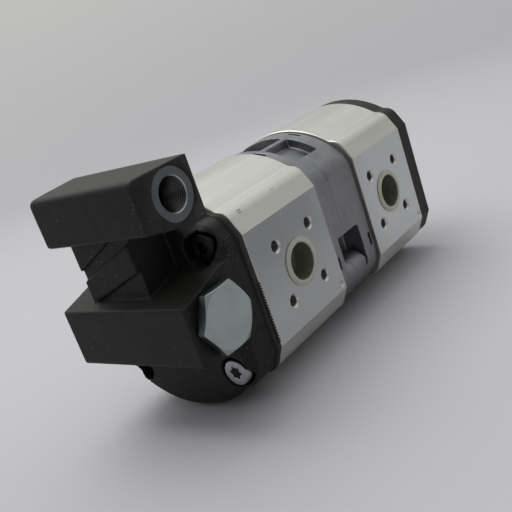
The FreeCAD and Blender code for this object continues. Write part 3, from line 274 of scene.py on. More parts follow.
# ---------------------------------------------------------------- finishes
@dataclass(frozen=True)
class DrawnAluminium:
    """Extruded and drawn body: streaked along the crown, finely milled on the flat sides.

    Attributes:
        crown: Colour of the drawn skin.
        face: Colour of the milled port faces.
        feed_mm: Step of the milling marks.
        painted_reflection: How much paler the milled faces are painted towards the foot and the drive end, a
            painted reflection.
    """

    crown: Colour = srgb("cfcec8")
    face: Colour = srgb("9c9e9e")
    feed_mm: float = 0.22
    painted_reflection: float = 0.75

    def build(self) -> bpy.types.Material:
        """Make the material."""
        graph = Graph("drawn_aluminium")
        _, across, _ = graph.parts(graph.coordinates.outputs["Normal"])
        milled = graph.ramp(graph.math("ABSOLUTE", across), 0.985, 0.998)
        streaks = graph.noise(200.0, 3.0, (0.05, 2.2, 2.2))
        fine = graph.noise(1500.0, 3.0, (0.05, 2.0, 2.0))
        cloud = graph.noise(38.0, 3.0)
        x, _, z = graph.parts(graph.place())
        skin = self._drawn(graph, streaks, cloud)
        flat, mottle = self._milled(graph, x, z, cloud)
        graph.set(base_color=graph.mix(milled, skin, flat), metallic=1.0)
        rough = graph.tree.nodes.new("ShaderNodeMix")
        graph.link(milled, rough.inputs[0])
        graph.link(graph.ramp(streaks, 0.3, 0.7, 0.33, 0.40), rough.inputs[2])
        graph.link(graph.ramp(mottle, 0.3, 0.7, 0.34, 0.44), rough.inputs[3])
        graph.set(roughness=rough.outputs[0])
        along = graph.math("ADD", x, graph.math("MULTIPLY", z, 0.35))
        sweep = graph.math("SINE", graph.math("MULTIPLY", along, 2 * math.pi / (self.feed_mm * MM)))
        lines = graph.math("MULTIPLY", graph.math("ADD", sweep, 1.0), graph.math("MULTIPLY", milled, 0.5))
        graph.set(normal=graph.bump(fine, 0.004, 0.35, graph.bump(lines, 0.004, 0.4)))
        return graph.material

    def _drawn(self, graph: Graph, streaks: bpy.types.NodeSocket,
               cloud: bpy.types.NodeSocket) -> bpy.types.NodeSocket:
        """Colour of the drawn skin.

        Args:
            graph: Graph to build in.
            streaks: Noise drawn out along the body.
            cloud: Slow noise.

        Returns:
            The colour's socket.
        """
        skin = graph.mix(graph.ramp(streaks, 0.35, 0.68), tuple(c * 0.93 for c in self.crown), self.crown)
        return graph.mix(graph.ramp(cloud, 0.4, 0.7, 0.0, 0.3), skin, tuple(c * 0.88 for c in self.crown))

    def _milled(self, graph: Graph, x: bpy.types.NodeSocket, z: bpy.types.NodeSocket,
                cloud: bpy.types.NodeSocket) -> tuple[bpy.types.NodeSocket, bpy.types.NodeSocket]:
        """Colour of the milled faces, painted paler towards the foot and the drive end as a painted reflection.

        Args:
            graph: Graph to build in.
            x: Station along the pump, in metres.
            z: Height, in metres.
            cloud: Slow noise.

        Returns:
            The colour's socket and the fine mottle's socket.
        """
        mottle = graph.noise(900.0, 4.0, (1.0, 1.0, 0.3))
        flat = graph.mix(graph.ramp(mottle, 0.3, 0.7), tuple(c * 0.92 for c in self.face), self.face)
        flat = graph.mix(graph.ramp(cloud, 0.42, 0.62, 0.0, 0.3), flat, tuple(c * 1.15 for c in self.face))
        # Painted reflection: the milled faces grow paler towards the foot and towards the drive end.
        foot = graph.ramp(z, 0.0, -0.045, 0.0, 0.75)
        drive = graph.ramp(x, -0.12, -0.05)
        paler = tuple(c * (1.0 + self.painted_reflection) for c in self.face)
        return graph.mix(graph.math("MAXIMUM", foot, drive), flat, paler), mottle


@dataclass(frozen=True)
class DieCast:
    """Die-cast aluminium with a satin skin and paler rubbed edges.

    Attributes:
        colour: Colour of the skin.
        edge: Colour of rubbed edges.
    """

    colour: Colour = srgb("8c8d90")
    edge: Colour = srgb("b6b7b9")

    def build(self) -> bpy.types.Material:
        """Make the material."""
        graph = Graph("die_cast_aluminium")
        flow = graph.noise(70.0, 5.0, (1.0, 1.0, 1.0), 1.2)
        grain = graph.noise(1900.0, 3.0)
        base = graph.mix(graph.ramp(flow, 0.35, 0.65), tuple(c * 0.78 for c in self.colour), self.colour)
        worn = graph.math("MULTIPLY", graph.edge_share(0.55, 0.65), graph.ramp(grain, 0.3, 0.6, 0.3, 0.8))
        graph.set(base_color=graph.mix(worn, base, self.edge), metallic=1.0)
        graph.set(roughness=graph.ramp(flow, 0.3, 0.7, 0.40, 0.52))
        graph.set(normal=graph.bump(grain, 0.025, 0.5, graph.bump(flow, 0.12, 0.35)))
        return graph.material


@dataclass(frozen=True)
class SandCast:
    """Dark phosphated casting with sand grain, pale specks, rubbed edges and painted top light.

    Attributes:
        name: Name of the material.
        colour: Colour of the skin.
        edge: Colour of rubbed edges, and of the painted top light on faces that look up.
        grain_mm: Size of the sand grain.
        rough: Roughness of the skin.
        painted_top_light: How much faces that look up are painted paler towards the edge colour, a painted top
            light.
        machined_x_mm: Beyond this station the skin is turned bright, if it is given.
    """

    name: str = "sand_cast_iron"
    colour: Colour = srgb("151716")
    edge: Colour = srgb("34362f")
    grain_mm: float = 0.45
    rough: float = 0.55
    painted_top_light: float = 0.4
    machined_x_mm: Optional[float] = None

    def build(self) -> bpy.types.Material:
        """Make the material."""
        graph = Graph(self.name)
        grain = graph.noise(1.0 / (self.grain_mm * MM), 4.0)
        coarse = graph.noise(160.0, 4.0)
        specks = graph.math("MULTIPLY", graph.ramp(graph.cells(420.0), 0.13, 0.06),
                            graph.ramp(graph.noise(90.0, 2.0), 0.50, 0.62))
        _, _, upward = graph.parts(graph.coordinates.outputs["Normal"])
        dull = tuple(c * 0.6 for c in self.colour)
        base = graph.mix(graph.ramp(coarse, 0.35, 0.65), dull, self.colour)
        base = graph.mix(graph.ramp(grain, 0.52, 0.75, 0.0, 0.25), base, self.edge)
        # Painted top light: faces that look up are lightened towards the edge colour.
        base = graph.mix(graph.ramp(upward, 0.3, 0.95, 0.0, self.painted_top_light), base, self.edge)
        worn = graph.math("MULTIPLY", graph.edge_share(0.525, 0.60), graph.ramp(grain, 0.35, 0.6, 0.25, 0.9))
        base = graph.mix(worn, base, self.edge)
        base = graph.mix(graph.math("MULTIPLY", specks, 0.5), base, srgb("a9aaa0"))
        relief = graph.bump(grain, 0.06, 0.6, graph.bump(coarse, 0.25, 0.35))
        if self.machined_x_mm is None:
            rough = graph.ramp(grain, 0.3, 0.7, self.rough - 0.08, self.rough + 0.1)
            graph.set(base_color=base, roughness=rough)
            graph.set(normal=relief, specular_ior_level=0.25)
            return graph.material
        x, y, z = graph.parts(graph.place())
        turned = graph.ramp(x, self.machined_x_mm * MM, (self.machined_x_mm + 0.1) * MM)
        squares = graph.math("ADD", graph.math("MULTIPLY", y, y), graph.math("MULTIPLY", z, z))
        radius = graph.math("SQRT", squares)
        rings = graph.math("SINE", graph.math("MULTIPLY", radius, 2 * math.pi / (0.25 * MM)))
        graph.set(base_color=graph.mix(turned, base, srgb("8d8f8c")), metallic=turned,
                  roughness=graph.ramp(turned, 0.0, 1.0, self.rough, 0.3), specular_ior_level=0.3)
        graph.set(normal=graph.bump(graph.math("MULTIPLY", rings, turned), 0.004, 0.5, relief))
        return graph.material


@dataclass(frozen=True)
class TurnedMetal:
    """Turned, ground or plated metal with fine lines.

    Attributes:
        name: Name of the material.
        colour: Colour of the metal.
        rough: Middle of its roughness.
        stretch: Scale of its lines along X, Y and Z.
        stain: Share of dull patches.
        line_mm: Depth of the lines.
    """

    name: str
    colour: Colour
    rough: float = 0.3
    stretch: Colour = (1.0, 1.0, 1.0)
    stain: float = 0.25
    line_mm: float = 0.008

    def build(self) -> bpy.types.Material:
        """Make the material."""
        graph = Graph(self.name)
        lines = graph.noise(900.0, 3.0, self.stretch)
        cloud = graph.noise(130.0, 4.0)
        spots = graph.noise(1600.0, 2.0)
        base = graph.mix(graph.ramp(cloud, 0.38, 0.66, 0.0, self.stain), self.colour,
                         tuple(c * 0.6 for c in self.colour))
        base = graph.mix(graph.ramp(spots, 0.55, 0.75, 0.0, 0.3), base, tuple(c * 0.72 for c in self.colour))
        graph.set(base_color=base, metallic=1.0)
        both = graph.math("ADD", lines, cloud)
        graph.set(roughness=graph.ramp(both, 0.7, 1.3, self.rough - 0.06, self.rough + 0.1))
        graph.set(normal=graph.bump(lines, self.line_mm, 0.5))
        return graph.material


@dataclass(frozen=True)
class MilkyPlastic:
    """Soft translucent plastic of the transport plugs.

    Attributes:
        name: Name of the material.
        colour: Colour of the plastic.
        glow: Share of light that spreads under the surface.
    """

    name: str
    colour: Colour
    glow: float = 0.35

    def build(self) -> bpy.types.Material:
        """Make the material."""
        graph = Graph(self.name)
        cloud = graph.noise(220.0, 3.0)
        flow = graph.noise(900.0, 2.0, (1.0, 0.2, 1.0))
        deeper = tuple(c * 0.82 for c in self.colour)
        base = graph.mix(graph.ramp(cloud, 0.35, 0.65, 0.0, 0.4), self.colour, deeper)
        graph.set(base_color=base, subsurface_weight=self.glow, subsurface_scale=0.0015)
        graph.set(specular_ior_level=0.45)
        graph.shader.inputs["Subsurface Radius"].default_value = (1.0, 1.0, 0.8)
        graph.set(roughness=graph.ramp(flow, 0.3, 0.7, 0.28, 0.42), normal=graph.bump(flow, 0.01, 0.4))
        return graph.material


@dataclass(frozen=True)
class NitrileRubber:
    """Black seal rubber with a faint bloom."""

    colour: Colour = srgb("1b1b1c")

    def build(self) -> bpy.types.Material:
        """Make the material."""
        graph = Graph("nitrile_rubber")
        bloom = graph.noise(500.0, 4.0)
        graph.set(base_color=graph.mix(graph.ramp(bloom, 0.5, 0.75, 0.0, 0.3), self.colour, srgb("3a3a3c")))
        graph.set(roughness=graph.ramp(bloom, 0.3, 0.7, 0.5, 0.7), normal=graph.bump(bloom, 0.02, 0.4))
        return graph.material


class Finishes:
    """All the finishes, each built once and given out by the name of its record slot."""

    def __init__(self) -> None:
        """Build every material."""
        steel_rings = (9.0, 0.3, 0.3)
        self.by_slot: dict[str, bpy.types.Material] = {
            "extruded_body": DrawnAluminium().build(),
            "cast_housing": DieCast().build(),
            "cast_iron_cover": SandCast().build(),
            "painted_cover": SandCast("phosphated_cover", srgb("121411"), srgb("232521"), grain_mm=0.35,
                                      rough=0.6, painted_top_light=0.25, machined_x_mm=0.02).build(),
            "screw_steel": TurnedMetal("zinc_screw_steel", srgb("a9abad"), 0.34, stain=0.5).build(),
            "zinc_plug": TurnedMetal("blue_zinc_plate", srgb("a2acaa"), 0.36, stain=0.12, line_mm=0.006).build(),
            "gear_steel": TurnedMetal("ground_gear_steel", srgb("b4b4b6"), 0.22, steel_rings).build(),
            "bearing_alloy": TurnedMetal("machined_bearing_alloy", srgb("c6c5c0"), 0.32,
                                         (6.0, 1.0, 1.0)).build(),
            "bush_lining": TurnedMetal("bush_lining", srgb("8d8068"), 0.4, steel_rings).build(),
            "spring_steel": TurnedMetal("oil_tempered_steel", srgb("5b5a5c"), 0.32).build(),
            "seal_rubber": NitrileRubber().build(),
            "plug_plastic": MilkyPlastic("milky_plastic", srgb("b6b9a8")).build(),
        }
        # Darker copy of the plastic for the plugs' insides: painted shade in the cups.
        self.cup_painted_shade = MilkyPlastic("milky_plastic_painted_shade", srgb("6b6d5c"), 0.05).build()
        # Darker copy of the zinc plate for the hex plug's walls: painted shade on the sides.
        self.plated_side_painted_shade = TurnedMetal("zinc_plate_painted_shade", srgb("525c5e"), 0.42, (1.0, 1.0, 1.0), 0.3).build()
        self.spot_face = TurnedMetal("spot_faced_iron", srgb("62686b"), 0.42, (1.0, 1.0, 1.0), 0.3).build()
        self.bright_cut = TurnedMetal("bright_cut_iron", srgb("a5a9ab"), 0.3).build()
        # Near-black copy of the screw steel for the sunk heads: painted shade in their pockets.
        self.sunk_head_painted_shade = TurnedMetal("screw_steel_painted_shade", srgb("2e2e2e"), 0.4).build()
        # Dark cut metal for threads, hole linings and nicks: painted shade of bores and grooves.
        self.recess_painted_shade = TurnedMetal("cut_metal_recess_painted_shade", srgb("4c4c4a"), 0.3).build()

    def dress(self, obj: bpy.types.Object, slot: str) -> None:
        """Give an object its slot's material alone."""
        obj.data.materials.clear()
        obj.data.materials.append(self.by_slot[slot])


# ---------------------------------------------------------------- mesh building
def add_piece(name: str, mesh: bpy.types.Mesh, body: str, replaced: Iterable[str] = (),
              materials: Iterable[bpy.types.Material] = ()) -> bpy.types.Object:
    """Put a mesh into the scene as a piece that rides on a body.

    Args:
        name: Name of the piece.
        mesh: Its mesh, in metres in the row's frame.
        body: Body that it rides on.
        replaced: Nodes that it stands for.
        materials: Materials to add, in the order of the mesh's material numbers.

    Returns:
        The new object.
    """
    obj = bpy.data.objects.new(name, mesh)
    bpy.context.scene.collection.objects.link(obj)
    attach(obj, body)
    if replaced:
        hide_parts(*replaced)
    for material in materials:
        obj.data.materials.append(material)
    LOG.info("%s: %d faces on %s", name, len(mesh.polygons), body)
    return obj


def smooth_by_angle(mesh: bpy.types.Mesh, degrees: float) -> None:
    """Shade a mesh smooth, with creases where faces meet at more than an angle."""
    edit = bmesh.new()
    edit.from_mesh(mesh)
    for face in edit.faces:
        face.smooth = True
    for edge in edit.edges:
        edge.smooth = len(edge.link_faces) != 2 or edge.calc_face_angle(0.0) < math.radians(degrees)
    edit.to_mesh(mesh)
    edit.free()


def value_at(shape: Shape, angle: float) -> float:
    """A ring's radius or height at an angle, whether it is a number or a formula."""
    return shape(angle) if callable(shape) else shape


def take_mesh(edit: bmesh.types.BMesh, name: str) -> bpy.types.Mesh:
    """Turn an edited mesh into a mesh of this name, and let the edit go."""
    mesh = bpy.data.meshes.new(name)
    edit.to_mesh(mesh)
    edit.free()
    return mesh


def skin_sections(edit: bmesh.types.BMesh, sections: Sequence[Sequence[bmesh.types.BMVert]]) -> None:
    """Join each closed section to the next with four-sided faces."""
    for one, two in zip(sections, sections[1:]):
        for k in range(len(one)):
            m = (k + 1) % len(one)
            edit.faces.new((one[k], one[m], two[m], two[k]))


def soft_box(size: Sequence[float], rounding: float, steps: int) -> bpy.types.Mesh:
    """A box about the origin with rounded edges.

    Args:
        size: Its sides in millimetres.
        rounding: Width of the rounded edges in millimetres.
        steps: Faces across each of them.

    Returns:
        The mesh in metres.
    """
    edit = bmesh.new()
    bmesh.ops.create_cube(edit, size=1.0)
    for vert in edit.verts:
        vert.co = Vector(a * b for a, b in zip(vert.co, size)) * MM
    bmesh.ops.bevel(edit, geom=list(edit.edges), offset=rounding * MM, segments=steps, profile=0.5,
                    affect="EDGES")
    return take_mesh(edit, "soft_box")


def ring_stack(rings: Sequence[Ring], segments: int, close: bool = False) -> bpy.types.Mesh:
    """Skin a stack of rings about the Z axis, each a radius and a height round the turn.

    Args:
        rings: Radius and height of each ring in millimetres, from one end to the other.
        segments: Points on each ring.
        close: Whether the last ring joins the first, as on a washer.

    Returns:
        The mesh in metres, capped at both ends unless it is closed.
    """
    edit = bmesh.new()
    loops = []
    for radius, height in rings:
        loop = []
        for i in range(segments):
            angle = 2 * math.pi * i / segments
            r, h = value_at(radius, angle), value_at(height, angle)
            loop.append(edit.verts.new((r * math.cos(angle) * MM, r * math.sin(angle) * MM, h * MM)))
        loops.append(loop)
    skin_sections(edit, loops + loops[:1] if close else loops)
    if not close:
        edit.faces.new(list(reversed(loops[0])))
        edit.faces.new(loops[-1])
    bmesh.ops.recalc_face_normals(edit, faces=edit.faces)
    return take_mesh(edit, "rings")


def turn_to(axis: Vector, centre: Vector, up: Vector = Vector((0, 0, 1))) -> Matrix:
    """Matrix that carries Z to an axis and X to the up direction, centred at a point.

    Args:
        axis: Direction that Z turns to.
        centre: Centre in millimetres.
        up: Direction that X turns to, as nearly as the axis allows.

    Returns:
        The matrix, with its centre in metres.
    """
    z = axis.normalized()
    x = (up - z * up.dot(z)).normalized()
    y = z.cross(x)
    turn = Matrix((x, y, z)).transposed().to_4x4()
    return Matrix.Translation(centre * MM) @ turn


def joined(meshes: Sequence[bpy.types.Mesh]) -> bpy.types.Mesh:
    """One mesh that holds several, each with its own materials."""
    edit = bmesh.new()
    for mesh in meshes:
        edit.from_mesh(mesh)
    return take_mesh(edit, "joined")


@dataclass(frozen=True)
class ThreadCut:
    """A V thread as one closed ridge along a helix about Z.

    Attributes:
        wall_r: Radius of the wall or core that the ridge stands on.
        crest_r: Radius of the crest.
        pitch: Rise in one turn.
        start: Height of the first turn.
        length: Length of the thread.
        segments: Steps in one turn.
    """

    wall_r: float
    crest_r: float
    pitch: float
    start: float
    length: float
    segments: int = 28

    def mesh(self) -> bpy.types.Mesh:
        """Make the ridge, with its section closed at both ends."""
        edit = bmesh.new()
        steps = int(self.segments * (self.length / self.pitch - 1))
        inset = 0.02 if self.crest_r < self.wall_r else -0.02
        sections = []
        for i in range(steps + 1):
            angle = 2 * math.pi * i / self.segments
            middle = self.start + self.pitch * (0.5 + i / self.segments)
            section = [(self.wall_r + inset, -0.48), (self.crest_r, -0.07), (self.crest_r, 0.07),
                       (self.wall_r + inset, 0.48)]
            points = [(r * math.cos(angle) * MM, r * math.sin(angle) * MM, (middle + h * self.pitch) * MM)
                      for r, h in section]
            sections.append([edit.verts.new(p) for p in points])
        skin_sections(edit, sections)
        edit.faces.new(list(reversed(sections[0])))
        edit.faces.new(sections[-1])
        bmesh.ops.recalc_face_normals(edit, faces=edit.faces)
        return take_mesh(edit, "thread")


@dataclass(frozen=True)
class CastSkin:
    """How a casting's mesh is made from its plain solid: rounded edges and a wavy skin.

    Attributes:
        voxel: Size of the remeshing grid.
        rounds: Number of smoothing passes.
        wave: Height of the slow waves in the skin.
        wave_length: Length of those waves.
        faces: Most triangles that the piece keeps.
        soft_rounds: Number of further passes where a casting is rounder.
    """

    voxel: float = 0.5
    rounds: int = 4
    wave: float = 0.06
    wave_length: float = 5.0
    faces: int = 180_000
    soft_rounds: int = 36

    def mesh(self, node: str, machined: Callable[[np.ndarray], np.ndarray],
             soft: Optional[Callable[[np.ndarray], np.ndarray]] = None) -> bpy.types.Mesh:
        """Make the cast mesh of a node.

        Args:
            node: Node whose solid is the start.
            machined: For an array of points in millimetres, the points with every coordinate that
                lies on a machined face set to that face, and the rest as not-a-number.
            soft: For the same points, how much each is rounded further, from 0 to 1.

        Returns:
            The finished mesh.
        """
        work = bpy.data.objects.new("casting", self._welded(node))
        bpy.context.scene.collection.objects.link(work)
        remesh = work.modifiers.new("grid", "REMESH")
        remesh.mode = "VOXEL"
        remesh.voxel_size = self.voxel * MM
        self._apply(work)
        flat = machined(self._points(work.data) / MM)
        if soft is not None:
            group = work.vertex_groups.new(name="soft")
            for index, weight in enumerate(soft(self._points(work.data) / MM)):
                if weight > 0:
                    group.add([index], float(weight), "REPLACE")
            self._soften(work, self.soft_rounds, "soft")
        self._soften(work, self.rounds)
        self._apply(work)
        points = self._points(work.data) / MM
        points = self._waved(work.data, points)
        points = np.where(np.isnan(flat), points, flat)
        work.data.vertices.foreach_set("co", (points * MM).astype(np.float32).ravel())
        count = 2 * len(work.data.polygons)
        if count > self.faces:
            thin = work.modifiers.new("thin", "DECIMATE")
            thin.ratio = self.faces / count
            self._apply(work)
        mesh = work.data
        bpy.data.objects.remove(work)
        for face in mesh.polygons:
            face.use_smooth = True
        return mesh

    def _soften(self, obj: bpy.types.Object, rounds: int, group: str = "") -> None:
        """Add a smoothing step, for the whole mesh or for one group of its points."""
        smooth = obj.modifiers.new("soften", "SMOOTH")
        smooth.factor = 0.5
        smooth.iterations = rounds
        smooth.vertex_group = group

    def _welded(self, node: str) -> bpy.types.Mesh:
        """Copy a node's mesh with its doubled points merged."""
        edit = bmesh.new()
        edit.from_mesh(frame["nodes"][node].data)
        bmesh.ops.remove_doubles(edit, verts=edit.verts, dist=0.001 * MM)
        return take_mesh(edit, node + "_skin")

    def _apply(self, obj: bpy.types.Object) -> None:
        """Bake an object's modifiers into its mesh."""
        graph = bpy.context.evaluated_depsgraph_get()
        mesh = bpy.data.meshes.new_from_object(obj.evaluated_get(graph))
        obj.modifiers.clear()
        obj.data = mesh

    def _points(self, mesh: bpy.types.Mesh) -> np.ndarray:
        """A mesh's points as an array."""
        values = np.zeros(len(mesh.vertices) * 3, np.float32)
        mesh.vertices.foreach_get("co", values)
        return values.reshape(-1, 3).astype(float)

    def _waved(self, mesh: bpy.types.Mesh, points: np.ndarray) -> np.ndarray:
        """Move points in along their normals by a slow noise, so that the skin isn't dead flat."""
        normals = np.zeros(len(mesh.vertices) * 3, np.float32)
        mesh.vertex_normals.foreach_get("vector", normals)
        scaled = points / self.wave_length
        height = np.array([noise.noise(p) for p in scaled]) * 0.5 - 0.5
        return points + normals.reshape(-1, 3) * height[:, None] * self.wave


def near(values: np.ndarray, plane: float, reach: float) -> np.ndarray:
    """Not-a-number away from a plane, and the plane's own value within its reach."""
    return np.where(np.abs(values - plane) < reach, plane, np.nan)


# ---------------------------------------------------------------- studio
@dataclass
class Studio:
    """Pale bowl-shaped floor, soft lamps and the camera.

    Attributes:
        floor_r: Radius of the level floor, in metres.
        bowl_r: Radius of the curve from floor to wall, in metres.
        wall: Height of the wall, in metres.
        far: Level direction of the bright side of the room.
    """

    floor_r: float = 0.95
    bowl_r: float = 0.5
    wall: float = 0.8
    far: tuple[float, float] = (0.733, 0.680)

    def build(self) -> None:
        """Make the floor, the lamps, the world and the camera."""
        self._view()
        self._floor()
        self._world()
        self._lamp("key_lamp", (-0.08, 0.42, 1.2), 1.1, 9.0, (1.0, 0.99, 0.965))
        self._camera()

    def _view(self) -> None:
        """Show colours as they are, with no film curve."""
        bpy.context.scene.view_settings.view_transform = "Standard"

    def _floor(self) -> None:
        """A round floor that curves up into a wall."""
        ground = min(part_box(node)[0].z for node in frame["nodes"]) / MM
        metre = 1 / MM
        rings: list[Ring] = [(1.0, 0.0), (self.floor_r * metre * 0.5, 0.0), (self.floor_r * metre, 0.0)]
        for i in range(1, 13):
            angle = math.pi / 2 * i / 12
            rings.append(((self.floor_r + self.bowl_r * math.sin(angle)) * metre,
                          self.bowl_r * (1 - math.cos(angle)) * metre))
        rings.append(((self.floor_r + self.bowl_r) * metre, self.wall * metre))
        mesh = ring_stack(rings, 128)
        lid = max(mesh.polygons, key=lambda face: face.center.z)
        edit = bmesh.new()
        edit.from_mesh(mesh)
        edit.faces.ensure_lookup_table()
        bmesh.ops.delete(edit, geom=[edit.faces[lid.index]], context="FACES_ONLY")
        edit.to_mesh(mesh)
        edit.free()
        mesh.transform(Matrix.Translation((-0.08, 0.0, ground * MM)))
        for face in mesh.polygons:
            face.use_smooth = True
        floor = bpy.data.objects.new("studio_floor", mesh)
        bpy.context.scene.collection.objects.link(floor)
        graph = Graph("studio_paper")
        x, y, height = graph.parts(graph.place())
        rise = graph.ramp(height, ground * MM, ground * MM + 0.45)
        depth = graph.math("ADD", graph.math("MULTIPLY", x, self.far[0]),
                           graph.math("MULTIPLY", y, self.far[1]))
        wall = graph.mix(graph.ramp(depth, -0.9, 0.2), srgb("8a8a8c"), srgb("eeeeeb"))
        graph.set(base_color=graph.mix(rise, srgb("c0bfc3"), wall), roughness=0.8, specular_ior_level=0.2)
        floor.data.materials.append(graph.material)

    def _world(self) -> None:
        """A pale sky, dimmer behind the camera."""
        world = bpy.data.worlds.new("studio_sky")
        bpy.context.scene.world = world
        world.use_nodes = True
        tree = world.node_tree
        background = tree.nodes["Background"]
        place = tree.nodes.new("ShaderNodeTexCoord")
        split = tree.nodes.new("ShaderNodeVectorMath")
        split.operation = "DOT_PRODUCT"
        split.inputs[1].default_value = (0.55 * self.far[0], 0.55 * self.far[1], 0.6)
        tree.links.new(place.outputs["Generated"], split.inputs[0])
        share = tree.nodes.new("ShaderNodeMapRange")
        tree.links.new(split.outputs["Value"], share.inputs[0])
        for socket, number in zip(share.inputs[1:5], (-0.1, 0.7, 0.40, 0.90)):
            socket.default_value = number
        background.inputs[0].default_value = (0.985, 0.99, 1.0, 1.0)
        tree.links.new(share.outputs[0], background.inputs[1])

    def _lamp(self, name: str, place: Colour, size: float, power: float, colour: Colour) -> None:
        """A square lamp that looks at the pump's middle.

        Args:
            name: Name of the lamp.
            place: Where it is, in metres.
            size: Side of its square, in metres.
            power: Its power, in watts.
            colour: Its colour.
        """
        data = bpy.data.lights.new(name, "AREA")
        data.size, data.energy, data.color = size, power, colour
        lamp = bpy.data.objects.new(name, data)
        target = Vector((-0.09, 0.0, -0.01))
        lamp.location = place
        lamp.rotation_mode = "QUATERNION"
        lamp.rotation_quaternion = (target - Vector(place)).to_track_quat("-Z", "Y")
        bpy.context.scene.collection.objects.link(lamp)

    def _camera(self) -> None:
        """The camera, low at the valve cover's end and rolled so that the pump leans."""
        data = bpy.data.cameras.new("camera")
        data.lens, data.sensor_width = 52.05, 36.0
        camera = bpy.data.objects.new("camera", data)
        forward = Vector((0.704, 0.653, -0.281)).normalized()
        right = Vector((0.572, -0.755, -0.321))
        right = (right - forward * right.dot(forward)).normalized()
        up = right.cross(forward)
        turn = Matrix((right, up, -forward)).transposed().to_4x4()
        camera.matrix_world = Matrix.Translation((-0.3947, -0.2584, 0.09235)) @ turn
        bpy.context.scene.collection.objects.link(camera)
        bpy.context.scene.camera = camera


# ---------------------------------------------------------------- valve cover
@dataclass
class ValveCover:
    """Sand-cast valve block that closes the rear stage, with its machined faces and cast marks.

    Attributes:
        finishes: Materials to dress the pieces with.
        skin: How the casting's mesh is made.
        port_r: Bore of the upper port.
        ring_r: Radius of its spot face.
        tick_count: Fine teeth along the joint's rim on the port side.
        tick_pitch: Distance between two teeth.
    """

    finishes: Finishes
    skin: CastSkin = CastSkin(voxel=0.5, rounds=5, wave=0.10, wave_length=6.0, faces=190_000)
    port_r: float = 7.48
    ring_r: float = 11.9
    tick_count: int = 22
    tick_pitch: float = 1.4

    def build(self) -> None:
        """Make the casting and what is cut into it or cast onto it."""
        self.cover = Place.of("rear_valve_cover")
        self.plug = Place.of("hex_plug")
        self.port = Vector((self.cover.high.x - 29.1, self.cover.low.y, self.plug.centre.z + 55.8))
        mesh = self.skin.mesh("rear_valve_cover", self._machined, self._soft)
        casting = add_piece("valve_cover_casting", mesh, "pump", ["rear_valve_cover"])
        self.finishes.dress(casting, "cast_iron_cover")
        self._port_face()
        self._rim_teeth()
        self._cast_marks()

    def _soft(self, points: np.ndarray) -> np.ndarray:
        """How much further points are rounded: the port block's free end the most.

        Args:
            points: Points in millimetres.

        Returns:
            A weight from 0 to 1 for each point.
        """
        end = np.clip((self.cover.low.x + 9.0 - points[:, 0]) / 4.0, 0.0, 1.0)
        block = np.clip((points[:, 2] - (self.cover.high.z - 27.0)) / 2.0, 0.0, 1.0)
        return end * block

    def _machined(self, points: np.ndarray) -> np.ndarray:
        """Points of the joint face and of the port face, which stay flat.

        Args:
            points: Points in millimetres.

        Returns:
            The planes that they lie on, and not-a-number elsewhere.
        """
        flat = np.full_like(points, np.nan)
        flat[:, 0] = near(points[:, 0], self.cover.high.x, 0.3)
        flat[:, 1] = near(points[:, 1], self.cover.low.y, 0.12)
        return flat

    def _port_face(self) -> None:
        """Turned ring round the upper port, its bright chamfer and its thread."""
        depth = 0.4
        lip = self.port_r + 0.42
        face = ring_stack([(self.ring_r, depth + 0.3), (self.ring_r, depth - 0.02), (lip, depth - 0.05),
                           (lip, depth + 0.5)], 120, close=True)
        chamfer = ring_stack([(lip, depth - 0.05), (self.port_r - 0.05, depth + 0.42),
                              (self.port_r - 0.05, depth + 0.8), (lip + 0.1, depth + 0.4)], 120, close=True)
        turn = turn_to(Vector((0, 1, 0)), self.port)
        for name, mesh, material in (("upper_port_spot_face", face, self.finishes.spot_face),
                                     ("upper_port_chamfer", chamfer, self.finishes.bright_cut)):
            mesh.transform(turn)
            smooth_by_angle(mesh, 25)
            add_piece(name, mesh, "pump", materials=[material])
        # The port's thread takes the dark recess material: painted shade inside the port.
        thread = ThreadCut(self.port_r + 0.04, self.port_r - 0.42, 1.337, 1.0, 15.0, 64).mesh()
        thread.transform(turn)
        smooth_by_angle(thread, 35)
        add_piece("upper_port_thread", thread, "pump",
                  materials=[self.finishes.recess_painted_shade])

    def _rim_teeth(self) -> None:
        """Fine raised teeth along the joint's edge, below the port side's middle."""
        edit = bmesh.new()
        x = self.cover.high.x - 0.8
        y = self.cover.low.y - 0.3
        top = self.plug.centre.z + 1.6
        for i in range(self.tick_count):
            for vert in bmesh.ops.create_cube(edit, size=1.0)["verts"]:
                taper = 0.5 if vert.co.y < 0 else 1.0
                size = Vector((1.7, 1.0, 0.72 * taper))
                place = Vector((x, y, top - i * self.tick_pitch))
                vert.co = (Vector(a * b for a, b in zip(vert.co, size)) + place) * MM
        piece = add_piece("joint_rim_teeth", take_mesh(edit, "teeth"), "pump")
        self.finishes.dress(piece, "cast_iron_cover")

    def _cast_marks(self) -> None:
        """Plain raised bars and a ring on the flange's flank, as foundries leave."""
        x, y, z = self.cover.high.x - 8.6, self.cover.low.y + 0.85, self.plug.centre.z
        meshes = [
            self._bar(Vector((x + 1.2, y + 1.25, z + 27.3)), Vector((5.4, 0.42, 0.8)), 28.0),
            self._bar(Vector((x - 0.1, y + 0.15, z + 23.3)), Vector((5.4, 0.42, 0.8)), 8.0),
        ]
        ring = ring_stack([(2.1, 0.3), (1.85, -0.35), (1.45, -0.35), (1.2, 0.3)], 40, close=True)
        ring.transform(turn_to(Vector((0, 1, 0)), Vector((x - 0.1, y - 0.1, z + 18.8))))
        meshes.append(ring)
        for px, pz, size in ((-12.5, 9.0, 0.8), (-5.6, 31.5, 0.6)):
            meshes.append(self._bar(Vector((self.cover.low.x + 3.6, px, pz)), Vector((0.5, size, size)), 0.0))
        mesh = joined(meshes)
        smooth_by_angle(mesh, 50)
        piece = add_piece("foundry_marks", mesh, "pump")
        self.finishes.dress(piece, "cast_iron_cover")

